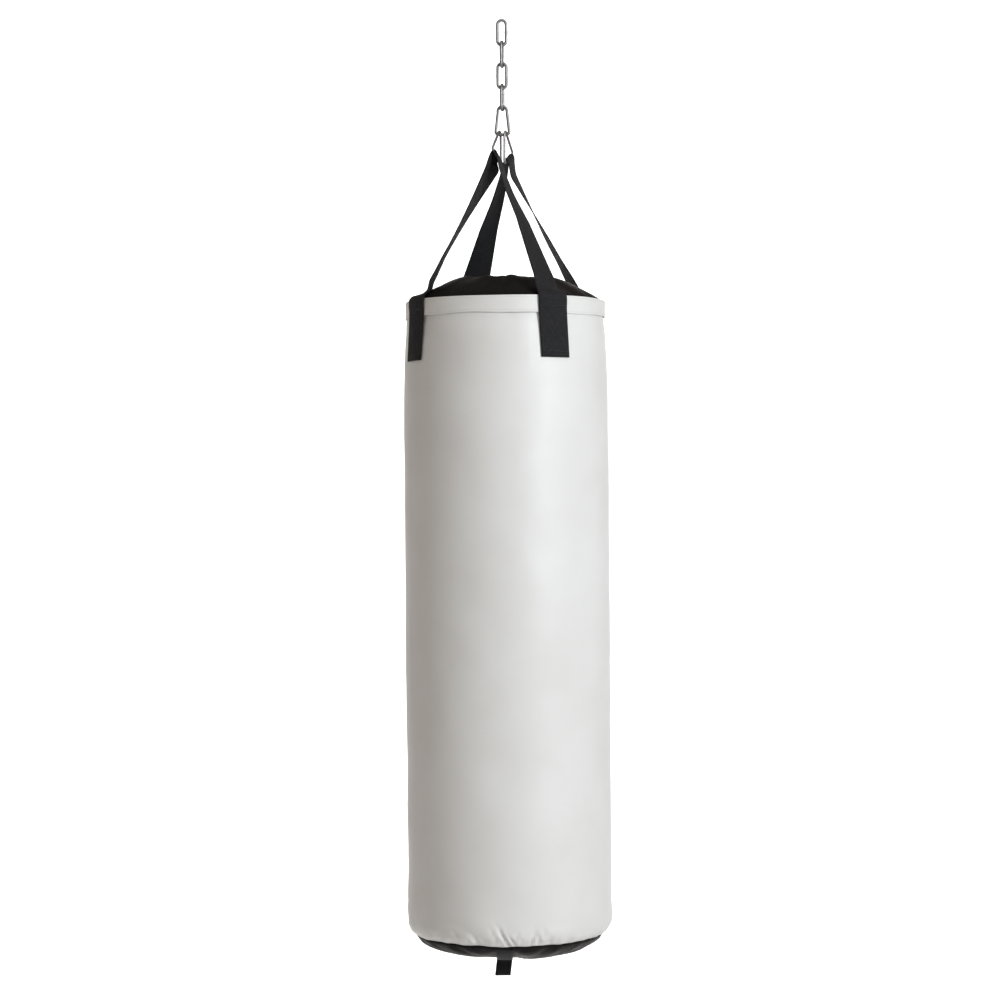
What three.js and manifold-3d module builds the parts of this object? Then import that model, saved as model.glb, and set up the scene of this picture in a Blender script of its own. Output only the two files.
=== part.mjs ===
// A hanging punch bag with a tether loop underneath, taken down to the pieces it is sewn and
// assembled from: four chain links, a snap hook with its gate, two triangular rings, two webbing
// straps that each make two legs, the padded bag with its zipped lid, and the bottom webbing.
// Millimetres, +Z up, front towards -Y. The origin is the bearing point inside the top of the
// first link, where the bag is hung up.
import * as THREE from "three";
import { mergeVertices } from "three/addons/utils/BufferGeometryUtils.js";
import Module from "manifold-3d";

const wasm = await Module();
wasm.setup();

const GAP = 0.3; // between pieces that touch on the real bag

// Chain: long-link, 5 mm wire, 35 mm pitch. A bow radius is that of the wire's centreline.
const WIRE = 5;
const LINK_INNER_LENGTH = 35;
const LINK_BOW_RADIUS = 7;
const LINK_COUNT = 4;
const LINK_PITCH = LINK_INNER_LENGTH - GAP;
const LINK_BOW_STEPS = 8;
const LINK_TURN = THREE.MathUtils.degToRad(78); // of every other link, which hang a little turned

// Snap hook: narrow bow up, wide flat bow down, gate in the left limb
const HOOK_INNER_TOP = -LINK_COUNT * LINK_PITCH;
const HOOK_LENGTH = 50;
const HOOK_TOP_RADIUS = 7.2;
const HOOK_CORNER_RADIUS = 5;
const HOOK_FLAT_HALF = 5.7;
const GATE_PIN_DROP = 5; // from the top bow's end down the limb to the pin
const GATE_LENGTH = 23.7; // pin to the nose end of the cut in the limb
const GATE_RADIUS = 2.3;
const EYE_RADIUS = 2.1; // of the body's tongue round the pin
const TONGUE_HALF = 0.9; // half thickness of the tongues
const SLOT_HALF = 1.2; // half width of the slots they run in
const SHOULDER = 2.7; // clear of the pin's centre on the body side
const PIN_RADIUS = 0.7;
const PIN_LENGTH = 5.2;
const NOSE_SLOT_DEPTH = 2.8;
const NOSE_HALF = 1.6; // half the width of the gate's nose
const NOSE_ROOT = -20; // where the nose starts, well inside the gate's bar
const GATE_BAR_TOP = -1;
const CLEAR = 4; // half size of the cutting boxes, past the wire on every side
const SPRING_BORE_RADIUS = 1.15;
const SPRING_BORE_END = -10.2;

// Triangular rings: two on the hook's flat bow, one leaning forward and one backward
const RING_WIRE = 4;
const RING_CROWN_RADIUS = 5;
const RING_CORNER_RADIUS = 3;
const RING_CORNER_HALF = 20.5;
const RING_BAR_DROP = 40.5; // hook wire's centre to the bar's centre
const RING_PIVOTS_X = { front: -4.7, rear: 4.7 };
const RING_TURN = THREE.MathUtils.degToRad(-17.5); // azimuth that the front ring's plane faces
const RING_LEAN = THREE.MathUtils.degToRad(24);

// Webbing straps
const STRAP_WIDTH = 50;
const STRAP_WIDTH_AT_BAR = 34; // bunched to fit the ring
const STRAP_THICKNESS = 1.8;
const STRAP_BAR_RADIUS = 3.4; // strap's middle round the bar
const STRAP_WRAP = THREE.MathUtils.degToRad(68);
const STRAP_COLUMNS = 5;
const TAIL_LENGTH = 99;
const FOLD_SHARE = 0.06; // of the way from rim to bar, where a leg has bent over the rim
const FOLD_IN = 15; // how far its inner edge is pulled in over the lid there

// Bag: radii are from the bag's axis, which hangs a little to the right of the chain
const BAG_X = 2.5;
const RIM_Z = -452;
const SEAM_Z = -1468;
const LATHE_STEPS = 40;
const SKIN = 1.5;
const HEM_HEIGHT = 26;
const HEM_RADIUS = 160.8;
const HEM_THICKNESS = 1;
const TOP_RADIUS = 159.4;
const SHELL_PROFILE = [
  // height, outer radius
  [SEAM_Z, 152.5],
  [SEAM_Z + 8.5, 157.5],
  [SEAM_Z + 19, 161.8],
  [SEAM_Z + 35, 164.3],
  [-1250, 164.8],
  [-850, 165.4],
  [-620, 164.4],
  [-540, 162.6],
  [RIM_Z - HEM_HEIGHT - GAP, 160.2],
  [RIM_Z - HEM_HEIGHT, 159.5],
  [RIM_Z, TOP_RADIUS],
];
const LINER_THICKNESS = 20;
const LID_SKIN = 2;
const LID_PROFILE = [
  // radius, height over the rim
  [80, 36],
  [95, 32.5],
  [110, 25],
  [125, 16],
  [140, 8],
  [154, 1.5],
  [157.3, -4],
  [157.3, -20],
];
const LID_SLOPE_POINTS = 6; // of the profile before it turns down into the skirt
const PAD_DROP = 6; // lid's underside to the top pad, which leaves room for the zip
const PAD_BOTTOM = RIM_Z - 24;
const BULGE = 33;
const BULGE_POWER = 0.65; // fuller near the seam than a ball
const BULGE_RINGS = 7;
const BOTTOM_SKIN = 2;
const BOTTOM_SKIRT = 12;
const BOTTOM_PAD_TOP = SEAM_Z + 25;

// Zip across the lid's flat top
const SLIT_HALF_LENGTH = 74;
const SLIT_HALF_WIDTH = 6;
const TEETH_HALF_LENGTH = 70;
const TEETH_INNER = 0.8;
const TEETH_OUTER = 3;
const TAPE_OUTER = 16;
const TAPE_HALF_LENGTH = 76;
const TAPE_THICKNESS = 0.8;
const TEETH_RISE = 1.3; // over the tape's upper side
const TEETH_SINK = 1.4; // under it
const STOP_LENGTH = 2;
const SLIDER_LENGTH = 11;
const SLIDER_HALF_WIDTH = 5;
const SLIDER_REST_X = -62;
const PULL_LENGTH = 20;
const PULL_HALF_WIDTH = 2.6;
const PULL_THICKNESS = 0.9;
const PULL_SLOT_END = -6.2;
const PLATE_THICKNESS = 1;
const BAIL_INNER = 2.4; // half length of the eye under the slider's bail
const BAIL_WIRE = 1;
const BAIL_HALF_WIDTH = 0.8;
const BAIL_EYE_HEIGHT = 2.3;

// Bottom webbing with its loop
const BOTTOM_STRAP_WIDTH = 25;
const BOTTOM_STRAP_X = -9; // from the bag's axis
const LOOP_BOTTOM = -1532;
const LOOP_HALF = 8;
const LOOP_CORNER = 4;
const STRAP_LIFT = GAP + 0.4 + STRAP_THICKNESS / 2; // of its middle off the bulge

const STEEL = { color: 0x8b8d8f, roughness: 0.35, metalness: 1 };
const WEBBING = { color: 0x26272a, roughness: 0.85, metalness: 0 };
const WHITE_FABRIC = { color: 0xe6e4df, roughness: 0.5, metalness: 0 };
const BLACK_FABRIC = { color: 0x1d1b1b, roughness: 0.8, metalness: 0 };
const ZIP_METAL = { color: 0x55565a, roughness: 0.4, metalness: 1 };
const ZIP_TEETH = { color: 0x1a1a1b, roughness: 0.5, metalness: 0 };
const FOAM = { color: 0xb9b4a4, roughness: 0.95, metalness: 0 };
const STUFFING = { color: 0x8a8782, roughness: 1, metalness: 0 };

const part = new THREE.Group();
const bag = new THREE.Group();
bag.position.x = BAG_X;
part.add(bag);
const v2 = (x, y) => new THREE.Vector2(x, y);
const v3 = (x, y, z) => new THREE.Vector3(x, y, z);
const Z_UP = v3(0, 0, 1);

function add(name, geometry, finish, group = part) {
  const mesh = new THREE.Mesh(geometry, new THREE.MeshStandardMaterial(finish));
  mesh.name = name;
  group.add(mesh);
  return mesh;
}

function addToBag(name, geometry, finish) {
  return add(name, geometry, finish, bag);
}

// ---- joining and cutting

function solidOf(geometry) {
  const loose = geometry.index ? geometry.toNonIndexed() : geometry;
  const bare = new THREE.BufferGeometry();
  bare.setAttribute("position", loose.getAttribute("position"));
  const merged = mergeVertices(bare, 1e-4);
  const mesh = new wasm.Mesh({
    numProp: 3,
    vertProperties: merged.getAttribute("position").array,
    triVerts: new Uint32Array(merged.index.array),
  });
  return new wasm.Manifold(mesh);
}

function geometryOf(solid) {
  const mesh = solid.getMesh();
  const geometry = new THREE.BufferGeometry();
  geometry.setAttribute("position", new THREE.BufferAttribute(mesh.vertProperties, 3));
  geometry.setIndex(new THREE.BufferAttribute(mesh.triVerts, 1));
  return geometry;
}

function joined(...geometries) {
  return geometryOf(geometries.map(solidOf).reduce((sum, solid) => sum.add(solid)));
}

function cut(geometry, ...tools) {
  const start = solidOf(geometry);
  return geometryOf(tools.map(solidOf).reduce((rest, tool) => rest.subtract(tool), start));
}

// ---- basic shapes

// A box given by its lowest and highest corners
function boxBetween(low, high) {
  const size = high.clone().sub(low);
  const middle = low.clone().add(high).multiplyScalar(0.5);
  return new THREE.BoxGeometry(size.x, size.y, size.z).translate(middle.x, middle.y, middle.z);
}

// A bar along Y, which is how CylinderGeometry stands
function barAlongY(radius, length, sides = 16) {
  return new THREE.CylinderGeometry(radius, radius, length, sides);
}

function barAlongZ(radius, low, high, sides) {
  const bar = new THREE.CylinderGeometry(radius, radius, high - low, sides);
  return bar.rotateX(Math.PI / 2).translate(0, 0, (low + high) / 2);
}

// A solid turned about the Z axis from [radius, height] points that run counter-clockwise
function turned(points) {
  const profile = points.map(([radius, height]) => v2(radius, height));
  return new THREE.LatheGeometry(profile, LATHE_STEPS).rotateX(Math.PI / 2);
}

// The outline of a belt round counter-clockwise pulleys, with every radius changed by offset
function beltOutline(pulleys, offset, steps) {
  const count = pulleys.length;
  const leaving = pulleys.map((from, i) => {
    const to = pulleys[(i + 1) % count];
    const dx = to.x - from.x;
    const dy = to.y - from.y;
    return Math.atan2(dy, dx) - Math.acos((from.r - to.r) / Math.hypot(dx, dy));
  });
  const points = [];
  pulleys.forEach((pulley, i) => {
    const start = leaving[(i + count - 1) % count];
    let sweep = leaving[i] - start;
    while (sweep <= 0) sweep += 2 * Math.PI;
    const arcSteps = Math.max(2, Math.round((sweep / Math.PI) * steps));
    for (let step = 0; step <= arcSteps; step += 1) {
      const angle = start + (sweep * step) / arcSteps;
      const radius = pulley.r + offset;
      points.push(v2(pulley.x + radius * Math.cos(angle), pulley.y + radius * Math.sin(angle)));
    }
  });
  return points;
}

// A closed ring of round wire in the XY plane, its centreline a belt round the pulleys
function wireRing(pulleys, wire, steps) {
  const shape = new THREE.Shape(beltOutline(pulleys, wire / 2, steps));
  shape.holes.push(new THREE.Path(beltOutline(pulleys, -wire / 2, steps)));
  const bevel = 0.46 * wire;
  const depth = wire - 2 * bevel;
  return new THREE.ExtrudeGeometry(shape, {
    depth,
    bevelThickness: bevel,
    bevelSize: bevel,
    bevelOffset: -bevel,
    bevelSegments: 2,
  }).translate(0, 0, -depth / 2);
}

// A closed solid made by thickening a grid of points, given as rows of equal length
function thickened(rows, thickness) {
  const lastRow = rows.length - 1;
  const lastColumn = rows[0].length - 1;
  const normals = rows.map((row, i) =>
    row.map((point, j) => {
      const along = rows[Math.min(i + 1, lastRow)][j].clone().sub(rows[Math.max(i - 1, 0)][j]);
      const across = row[Math.min(j + 1, lastColumn)].clone().sub(row[Math.max(j - 1, 0)]);
      return along.cross(across).normalize();
    }),
  );
  const positions = [];
  for (const side of [0.5, -0.5]) {
    rows.forEach((row, i) =>
      row.forEach((point, j) => {
        const moved = point.clone().addScaledVector(normals[i][j], side * thickness);
        positions.push(moved.x, moved.y, moved.z);
      }),
    );
  }
  const columns = lastColumn + 1;
  const under = rows.length * columns;
  const index = [];
  const quad = (a, b, c, d) => index.push(a, b, c, a, c, d);
  for (let i = 0; i < lastRow; i += 1) {
    for (let j = 0; j < lastColumn; j += 1) {
      const a = i * columns + j;
      quad(a, a + columns, a + columns + 1, a + 1);
      quad(under + a, under + a + 1, under + a + columns + 1, under + a + columns);
    }
    const left = i * columns;
    const right = left + lastColumn;
    quad(left, under + left, under + left + columns, left + columns);
    quad(right, right + columns, under + right + columns, under + right);
  }
  const end = lastRow * columns;
  for (let j = 0; j < lastColumn; j += 1) {
    quad(j, j + 1, under + j + 1, under + j);
    quad(end + j, under + end + j, under + end + j + 1, end + j + 1);
  }
  const geometry = new THREE.BufferGeometry();
  geometry.setAttribute("position", new THREE.Float32BufferAttribute(positions, 3));
  geometry.setIndex(index);
  return geometry;
}

// ---- chain

function addChain() {
  const reach = LINK_INNER_LENGTH / 2 - (LINK_BOW_RADIUS - WIRE / 2);
  const pulleys = [
    { x: 0, y: reach, r: LINK_BOW_RADIUS },
    { x: 0, y: -reach, r: LINK_BOW_RADIUS },
  ];
  for (let i = 0; i < LINK_COUNT; i += 1) {
    const geometry = wireRing(pulleys, WIRE, LINK_BOW_STEPS).rotateX(Math.PI / 2);
    const link = add(`chain_link_${i + 1}`, geometry, STEEL);
    link.rotation.z = i % 2 ? LINK_TURN : 0;
    link.position.z = -i * LINK_PITCH - LINK_INNER_LENGTH / 2;
  }
}

// ---- snap hook

// The hook's bottom wire, which the rings hang on
const HOOK_BAR_Z = HOOK_INNER_TOP + WIRE / 2 - (HOOK_LENGTH - WIRE);

function hookPulleys() {
  const topCentre = HOOK_INNER_TOP + WIRE / 2 - HOOK_TOP_RADIUS;
  const cornerCentre = HOOK_BAR_Z + HOOK_CORNER_RADIUS;
  return [
    { x: 0, y: topCentre, r: HOOK_TOP_RADIUS },
    { x: -HOOK_FLAT_HALF, y: cornerCentre, r: HOOK_CORNER_RADIUS },
    { x: HOOK_FLAT_HALF, y: cornerCentre, r: HOOK_CORNER_RADIUS },
  ];
}

// Frame of the left limb: origin at the gate's pin, -Z down along the limb
function limbFrame() {
  const [top, corner] = hookPulleys();
  const dx = corner.x - top.x;
  const dy = corner.y - top.y;
  const normal = Math.atan2(dy, dx) - Math.acos((top.r - corner.r) / Math.hypot(dx, dy));
  const slant = Math.PI + normal; // of the limb from the vertical, as a turn about Y
  const startX = top.x + top.r * Math.cos(normal);
  const startZ = top.y + top.r * Math.sin(normal);
  const frame = new THREE.Matrix4().makeRotationY(-slant);
  const down = v3(0, 0, -1).transformDirection(frame);
  frame.setPosition(startX + down.x * GATE_PIN_DROP, 0, startZ + down.z * GATE_PIN_DROP);
  return frame;
}

function addHook() {
  const frame = limbFrame();
  const ring = wireRing(hookPulleys(), WIRE, LINK_BOW_STEPS).rotateX(Math.PI / 2);
  const inLimb = (geometry) => geometry.applyMatrix4(frame);
  const noseEnd = -GATE_LENGTH - NOSE_SLOT_DEPTH;

  const opening = inLimb(boxBetween(v3(-CLEAR, -CLEAR, -GATE_LENGTH), v3(CLEAR, CLEAR, SHOULDER)));
  const noseSlot = inLimb(
    boxBetween(v3(-CLEAR, -SLOT_HALF, noseEnd), v3(CLEAR, SLOT_HALF, NOSE_ROOT)),
  );
  const tongue = joined(
    boxBetween(v3(-2, -TONGUE_HALF, 0), v3(2, TONGUE_HALF, SHOULDER + 0.5)),
    barAlongY(EYE_RADIUS, 2 * TONGUE_HALF),
  );
  const pinHole = barAlongY(PIN_RADIUS + GAP, 2 * CLEAR);
  const withTongue = joined(cut(ring, opening, noseSlot), inLimb(tongue));
  add("snap_hook_body", cut(withTongue, inLimb(pinHole.clone())), STEEL);

  const bar = barAlongZ(GATE_RADIUS, GAP - GATE_LENGTH, GATE_BAR_TOP, 16);
  const nose = boxBetween(
    v3(-NOSE_HALF, -TONGUE_HALF, noseEnd + GAP),
    v3(NOSE_HALF, TONGUE_HALF, NOSE_ROOT),
  );
  const forkSlot = boxBetween(
    v3(-CLEAR, -SLOT_HALF, -EYE_RADIUS - 0.5),
    v3(CLEAR, SLOT_HALF, CLEAR),
  );
  const bore = barAlongZ(SPRING_BORE_RADIUS, SPRING_BORE_END, 0, 12);
  const solidGate = joined(bar, nose, barAlongY(GATE_RADIUS, 2 * GATE_RADIUS));
  add("snap_hook_gate", inLimb(cut(solidGate, forkSlot, bore, pinHole)), STEEL);

  add("gate_pin", inLimb(barAlongY(PIN_RADIUS, PIN_LENGTH, 12)), STEEL);
  add("gate_spring", inLimb(gateSpring()), STEEL);
}

class Helix extends THREE.Curve {
  constructor(radius, turns, low, high) {
    super();
    Object.assign(this, { radius, turns, low, high });
  }
  getPoint(t, target = v3(0, 0, 0)) {
    const angle = 2 * Math.PI * this.turns * t;
    const height = THREE.MathUtils.lerp(this.low, this.high, t);
    return target.set(this.radius * Math.cos(angle), this.radius * Math.sin(angle), height);
  }
}

function gateSpring() {
  const turns = 4;
  const circle = new THREE.Path().absarc(0, 0, 0.2, 0, 2 * Math.PI);
  const wireShape = new THREE.Shape(circle.getPoints(3));
  const extrudePath = new Helix(0.65, turns, SPRING_BORE_END + 0.5, -EYE_RADIUS - 1);
  return new THREE.ExtrudeGeometry(wireShape, { steps: 8 * turns, extrudePath });
}

// ---- rings

// Directions of one ring: bar runs along the bar, up from the bar to the crown, side off its face
function ringFrame(turn, pivotX) {
  const ahead = v3(Math.sin(turn), -Math.cos(turn), 0);
  const cosine = Math.cos(RING_LEAN);
  const sine = Math.sin(RING_LEAN);
  const bar = ahead.clone().multiplyScalar(cosine).addScaledVector(Z_UP, sine);
  const up = Z_UP.clone().multiplyScalar(cosine).addScaledVector(ahead, -sine);
  const side = v3(Math.cos(turn), Math.sin(turn), 0);
  const pivot = v3(pivotX, 0, HOOK_BAR_Z);
  const barCentre = pivot.clone().addScaledVector(up, -RING_BAR_DROP);
  return { bar, up, side, pivot, barCentre };
}

function addRing(name, { bar, up, pivot }) {
  const cornerHeight = RING_CORNER_RADIUS - RING_BAR_DROP;
  const pulleys = [
    { x: 0, y: 0, r: RING_CROWN_RADIUS },
    { x: -RING_CORNER_HALF, y: cornerHeight, r: RING_CORNER_RADIUS },
    { x: RING_CORNER_HALF, y: cornerHeight, r: RING_CORNER_RADIUS },
  ];
  const geometry = wireRing(pulleys, RING_WIRE, LINK_BOW_STEPS);
  const placed = new THREE.Matrix4().makeBasis(bar, up, bar.clone().cross(up)).setPosition(pivot);
  add(name, geometry.applyMatrix4(placed), STEEL);
}

// ---- straps

function shellRadius(z) {
  for (let i = 1; i < SHELL_PROFILE.length; i += 1) {
    const [lowZ, lowRadius] = SHELL_PROFILE[i - 1];
    const [highZ, highRadius] = SHELL_PROFILE[i];
    if (z <= highZ) return THREE.MathUtils.mapLinear(z, lowZ, highZ, lowRadius, highRadius);
  }
  return HEM_RADIUS;
}

// One row of a leg where it lies on the bag. across is +1 or -1: which way the columns run.
function tailRow(azimuth, z, across) {
  const radius = Math.max(HEM_RADIUS, shellRadius(z)) + GAP + 0.1 + STRAP_THICKNESS / 2;
  const halfAngle = STRAP_WIDTH / 2 / radius;
  return strapColumns().map((j) => {
    const angle = azimuth + across * j * halfAngle;
    return v3(BAG_X + radius * Math.sin(angle), -radius * Math.cos(angle), z);
  });
}

// One row of a strap round its ring's bar, angle 0 being the bar's upper side
function barRow(ring, angle) {
  const centre = ring.barCentre.clone();
  centre.addScaledVector(ring.up, STRAP_BAR_RADIUS * Math.cos(angle));
  centre.addScaledVector(ring.side, STRAP_BAR_RADIUS * Math.sin(angle));
  return strapColumns().map((j) =>
    centre.clone().addScaledVector(ring.bar, (j * STRAP_WIDTH_AT_BAR) / 2),
  );
}

function strapColumns() {
  return Array.from({ length: STRAP_COLUMNS }, (_, i) => (2 * i) / (STRAP_COLUMNS - 1) - 1);
}

// A leg's rows from the lower end of its tail to just below the bar. It bends over the rim, where
// its inner edge is pulled in. From there to the bar it is pulled straight, so each column is a
// straight line and the leg twists evenly.
function legRows(leg, across, topRow) {
  const rimZ = RIM_Z + 3;
  const tailSteps = 4;
  const openSteps = 7;
  const rows = [];
  for (let i = 0; i < tailSteps; i += 1) {
    const share = i / tailSteps;
    const azimuth = THREE.MathUtils.lerp(leg.tail, leg.rim, share);
    rows.push(tailRow(THREE.MathUtils.degToRad(azimuth), rimZ - TAIL_LENGTH * (1 - share), across));
  }
  const rimRow = tailRow(THREE.MathUtils.degToRad(leg.rim), rimZ, across);
  const foldRow = rimRow.map((point, j) => {
    const inward = v3(BAG_X - point.x, -point.y, 0).normalize();
    const innerShare = (1 - strapColumns()[j]) / 2;
    return point.clone().lerp(topRow[j], FOLD_SHARE).addScaledVector(inward, FOLD_IN * innerShare);
  });
  rows.push(rimRow);
  for (let i = 0; i < openSteps; i += 1) {
    rows.push(foldRow.map((point, j) => point.clone().lerp(topRow[j], i / openSteps)));
  }
  return rows;
}

function addStrap(name, ring, leftLeg, rightLeg) {
  const wrapSteps = 6;
  const wrap = [];
  for (let i = 0; i <= wrapSteps; i += 1) {
    wrap.push(barRow(ring, STRAP_WRAP * ((2 * i) / wrapSteps - 1)));
  }
  const left = legRows(leftLeg, 1, wrap[0]);
  const right = legRows(rightLeg, -1, wrap[wrapSteps]).reverse();
  add(name, thickened([...left, ...wrap, ...right].reverse(), STRAP_THICKNESS), WEBBING);
}

// ---- bag

function addShell() {
  const outer = SHELL_PROFILE.map(([z, radius]) => [radius, z]);
  const inner = SHELL_PROFILE.map(([z, radius]) => [radius - SKIN, z]).reverse();
  addToBag("shell", turned([...outer, ...inner, outer[0]]), WHITE_FABRIC);
  const hem = tube(HEM_RADIUS - HEM_THICKNESS, HEM_RADIUS, RIM_Z - HEM_HEIGHT, RIM_Z + 1);
  addToBag("top_hem_band", turned(hem), WHITE_FABRIC);
}

// The profile of a tube
function tube(inner, outer, low, high) {
  return [
    [inner, low],
    [outer, low],
    [outer, high],
    [inner, high],
    [inner, low],
  ];
}

const LID_TOP = RIM_Z + LID_PROFILE[0][1];

function addLid() {
  const outer = LID_PROFILE.map(([radius, rise]) => [radius, RIM_Z + rise]).reverse();
  const slope = LID_PROFILE.slice(0, LID_SLOPE_POINTS).map(([radius, rise]) => [
    radius - 0.5,
    RIM_Z + rise - LID_SKIN,
  ]);
  const [skirtRadius, skirtRise] = LID_PROFILE[LID_PROFILE.length - 1];
  const insideRadius = skirtRadius - LID_SKIN;
  const inner = [
    [0, LID_TOP - LID_SKIN],
    ...slope,
    [insideRadius, RIM_Z + LID_PROFILE[LID_SLOPE_POINTS][1] - LID_SKIN],
    [insideRadius, RIM_Z + skirtRise],
  ];
  const lid = turned([...outer, [0, LID_TOP], ...inner, outer[0]]);
  const slit = boxBetween(
    v3(-SLIT_HALF_LENGTH, -SLIT_HALF_WIDTH, LID_TOP - 2 * LID_SKIN),
    v3(SLIT_HALF_LENGTH, SLIT_HALF_WIDTH, LID_TOP + LID_SKIN),
  );
  addToBag("lid_panel", cut(lid, slit), BLACK_FABRIC);
}

function addPadding() {
  const drop = LID_SKIN + PAD_DROP;
  const slope = LID_PROFILE.slice(0, LID_SLOPE_POINTS).map(([radius, rise]) => [
    radius - 3,
    RIM_Z + rise - drop,
  ]);
  const padRadius = slope[LID_SLOPE_POINTS - 1][0];
  const pad = [[0, PAD_BOTTOM], [padRadius, PAD_BOTTOM], ...slope.reverse(), [0, LID_TOP - drop]];
  addToBag("top_pad", turned(pad), FOAM);

  const low = BOTTOM_PAD_TOP + GAP;
  const high = PAD_BOTTOM - GAP;
  const linerOuter = TOP_RADIUS - SKIN - GAP;
  const linerInner = linerOuter - LINER_THICKNESS;
  addToBag("foam_liner", turned(tube(linerInner, linerOuter, low, high)), FOAM);

  const fillRadius = linerInner - GAP;
  addToBag("filling", turned([[0, low], [fillRadius, low], [fillRadius, high], [0, high]]), STUFFING);
}

// Radii of the bottom panel's rings, and the depth of its outside below the seam at a radius
const BOTTOM_RADIUS = SHELL_PROFILE[0][1] - SKIN - GAP;
const BULGE_RADII = Array.from({ length: BULGE_RINGS }, (_, i) => {
  const angle = (i / (BULGE_RINGS - 1)) * (Math.PI / 2);
  return BOTTOM_RADIUS * Math.sin(angle);
});

function bulgeDepth(radius) {
  return BULGE * Math.pow(Math.max(0, 1 - (radius / BOTTOM_RADIUS) ** 2), BULGE_POWER);
}

// The same depth on the flat facets between two rings
function facetDepth(radius) {
  const i = BULGE_RADII.findIndex((ring) => ring >= radius);
  const [near, far] = [BULGE_RADII[i - 1], BULGE_RADII[i]];
  return THREE.MathUtils.mapLinear(radius, near, far, bulgeDepth(near), bulgeDepth(far));
}

function addBottom() {
  const under = BULGE_RADII.map((radius) => [radius, SEAM_Z - bulgeDepth(radius)]);
  const skirtTop = SEAM_Z + BOTTOM_SKIRT;
  const insideRadius = BOTTOM_RADIUS - BOTTOM_SKIN;
  const raised = (limit, rise) => under.map(([radius, z]) => [Math.min(radius, limit), z + rise]);
  const over = raised(insideRadius, BOTTOM_SKIN).reverse();
  const panel = [...under, [BOTTOM_RADIUS, skirtTop], [insideRadius, skirtTop], ...over];
  addToBag("bottom_panel", turned(panel), BLACK_FABRIC);

  const padRadius = insideRadius - GAP;
  const padUnder = raised(padRadius, BOTTOM_SKIN + GAP);
  const pad = [...padUnder, [padRadius, BOTTOM_PAD_TOP], [0, BOTTOM_PAD_TOP]];
  addToBag("bottom_pad", turned(pad), FOAM);
}

// Webbing across the bottom from seam to seam, with a loop hanging at the middle
function addBottomStrap() {
  const onBulge = (y) => SEAM_Z - facetDepth(y) - STRAP_LIFT;
  const turnY = LOOP_HALF + LOOP_CORNER;
  const reaches = [BOTTOM_RADIUS - 3, ...BULGE_RADII.slice(1, -1).reverse(), turnY];
  const loopMiddle = LOOP_BOTTOM + STRAP_THICKNESS / 2;
  const cornerInset = (1 - Math.SQRT1_2) * LOOP_CORNER;
  const half = [
    ...reaches.map((y) => [y, onBulge(y)]),
    [LOOP_HALF + cornerInset, onBulge(turnY) - cornerInset],
    [LOOP_HALF, onBulge(turnY) - LOOP_CORNER],
    [LOOP_HALF, loopMiddle + LOOP_CORNER],
    [LOOP_HALF - cornerInset, loopMiddle + cornerInset],
    [LOOP_HALF - LOOP_CORNER, loopMiddle],
  ];
  const path = [...half, ...half.map(([y, z]) => [-y, z]).reverse()];
  const rows = path.map(([y, z]) =>
    [-1, 0, 1].map((j) => v3(BOTTOM_STRAP_X + (j * BOTTOM_STRAP_WIDTH) / 2, y, z)),
  );
  addToBag("bottom_strap", thickened(rows, STRAP_THICKNESS), WEBBING);
}

// ---- zip

const TAPE_TOP = LID_TOP - LID_SKIN - GAP;
const TEETH_TOP = TAPE_TOP + TEETH_RISE;
const TEETH_BOTTOM = TAPE_TOP - TEETH_SINK;

// A straight strip along X on one side of the zip, side being -1 or +1
function zipStrip(side, inner, outer, halfLength, low, high) {
  const near = Math.min(side * inner, side * outer);
  const far = Math.max(side * inner, side * outer);
  return boxBetween(v3(-halfLength, near, low), v3(halfLength, far, high));
}

function addZip() {
  const tapeBottom = TAPE_TOP - TAPE_THICKNESS;
  const tapeInner = TEETH_OUTER + GAP;
  for (const [name, side] of [["front", -1], ["rear", 1]]) {
    const tape = zipStrip(side, tapeInner, TAPE_OUTER, TAPE_HALF_LENGTH, tapeBottom, TAPE_TOP);
    addToBag(`zip_tape_${name}`, tape, BLACK_FABRIC);
    const teeth = zipStrip(side, TEETH_INNER, TEETH_OUTER, TEETH_HALF_LENGTH, TEETH_BOTTOM, TEETH_TOP);
    addToBag(`zip_teeth_${name}`, teeth, ZIP_TEETH);
  }
  for (const [name, side] of [["left", -1], ["right", 1]]) {
    const near = side * (TEETH_HALF_LENGTH + GAP);
    const far = side * (TEETH_HALF_LENGTH + GAP + STOP_LENGTH);
    const low = v3(Math.min(near, far), -TEETH_OUTER, TEETH_BOTTOM);
    const high = v3(Math.max(near, far), TEETH_OUTER, TEETH_TOP);
    addToBag(`zip_stop_${name}`, boxBetween(low, high), ZIP_METAL);
  }
}

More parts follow.
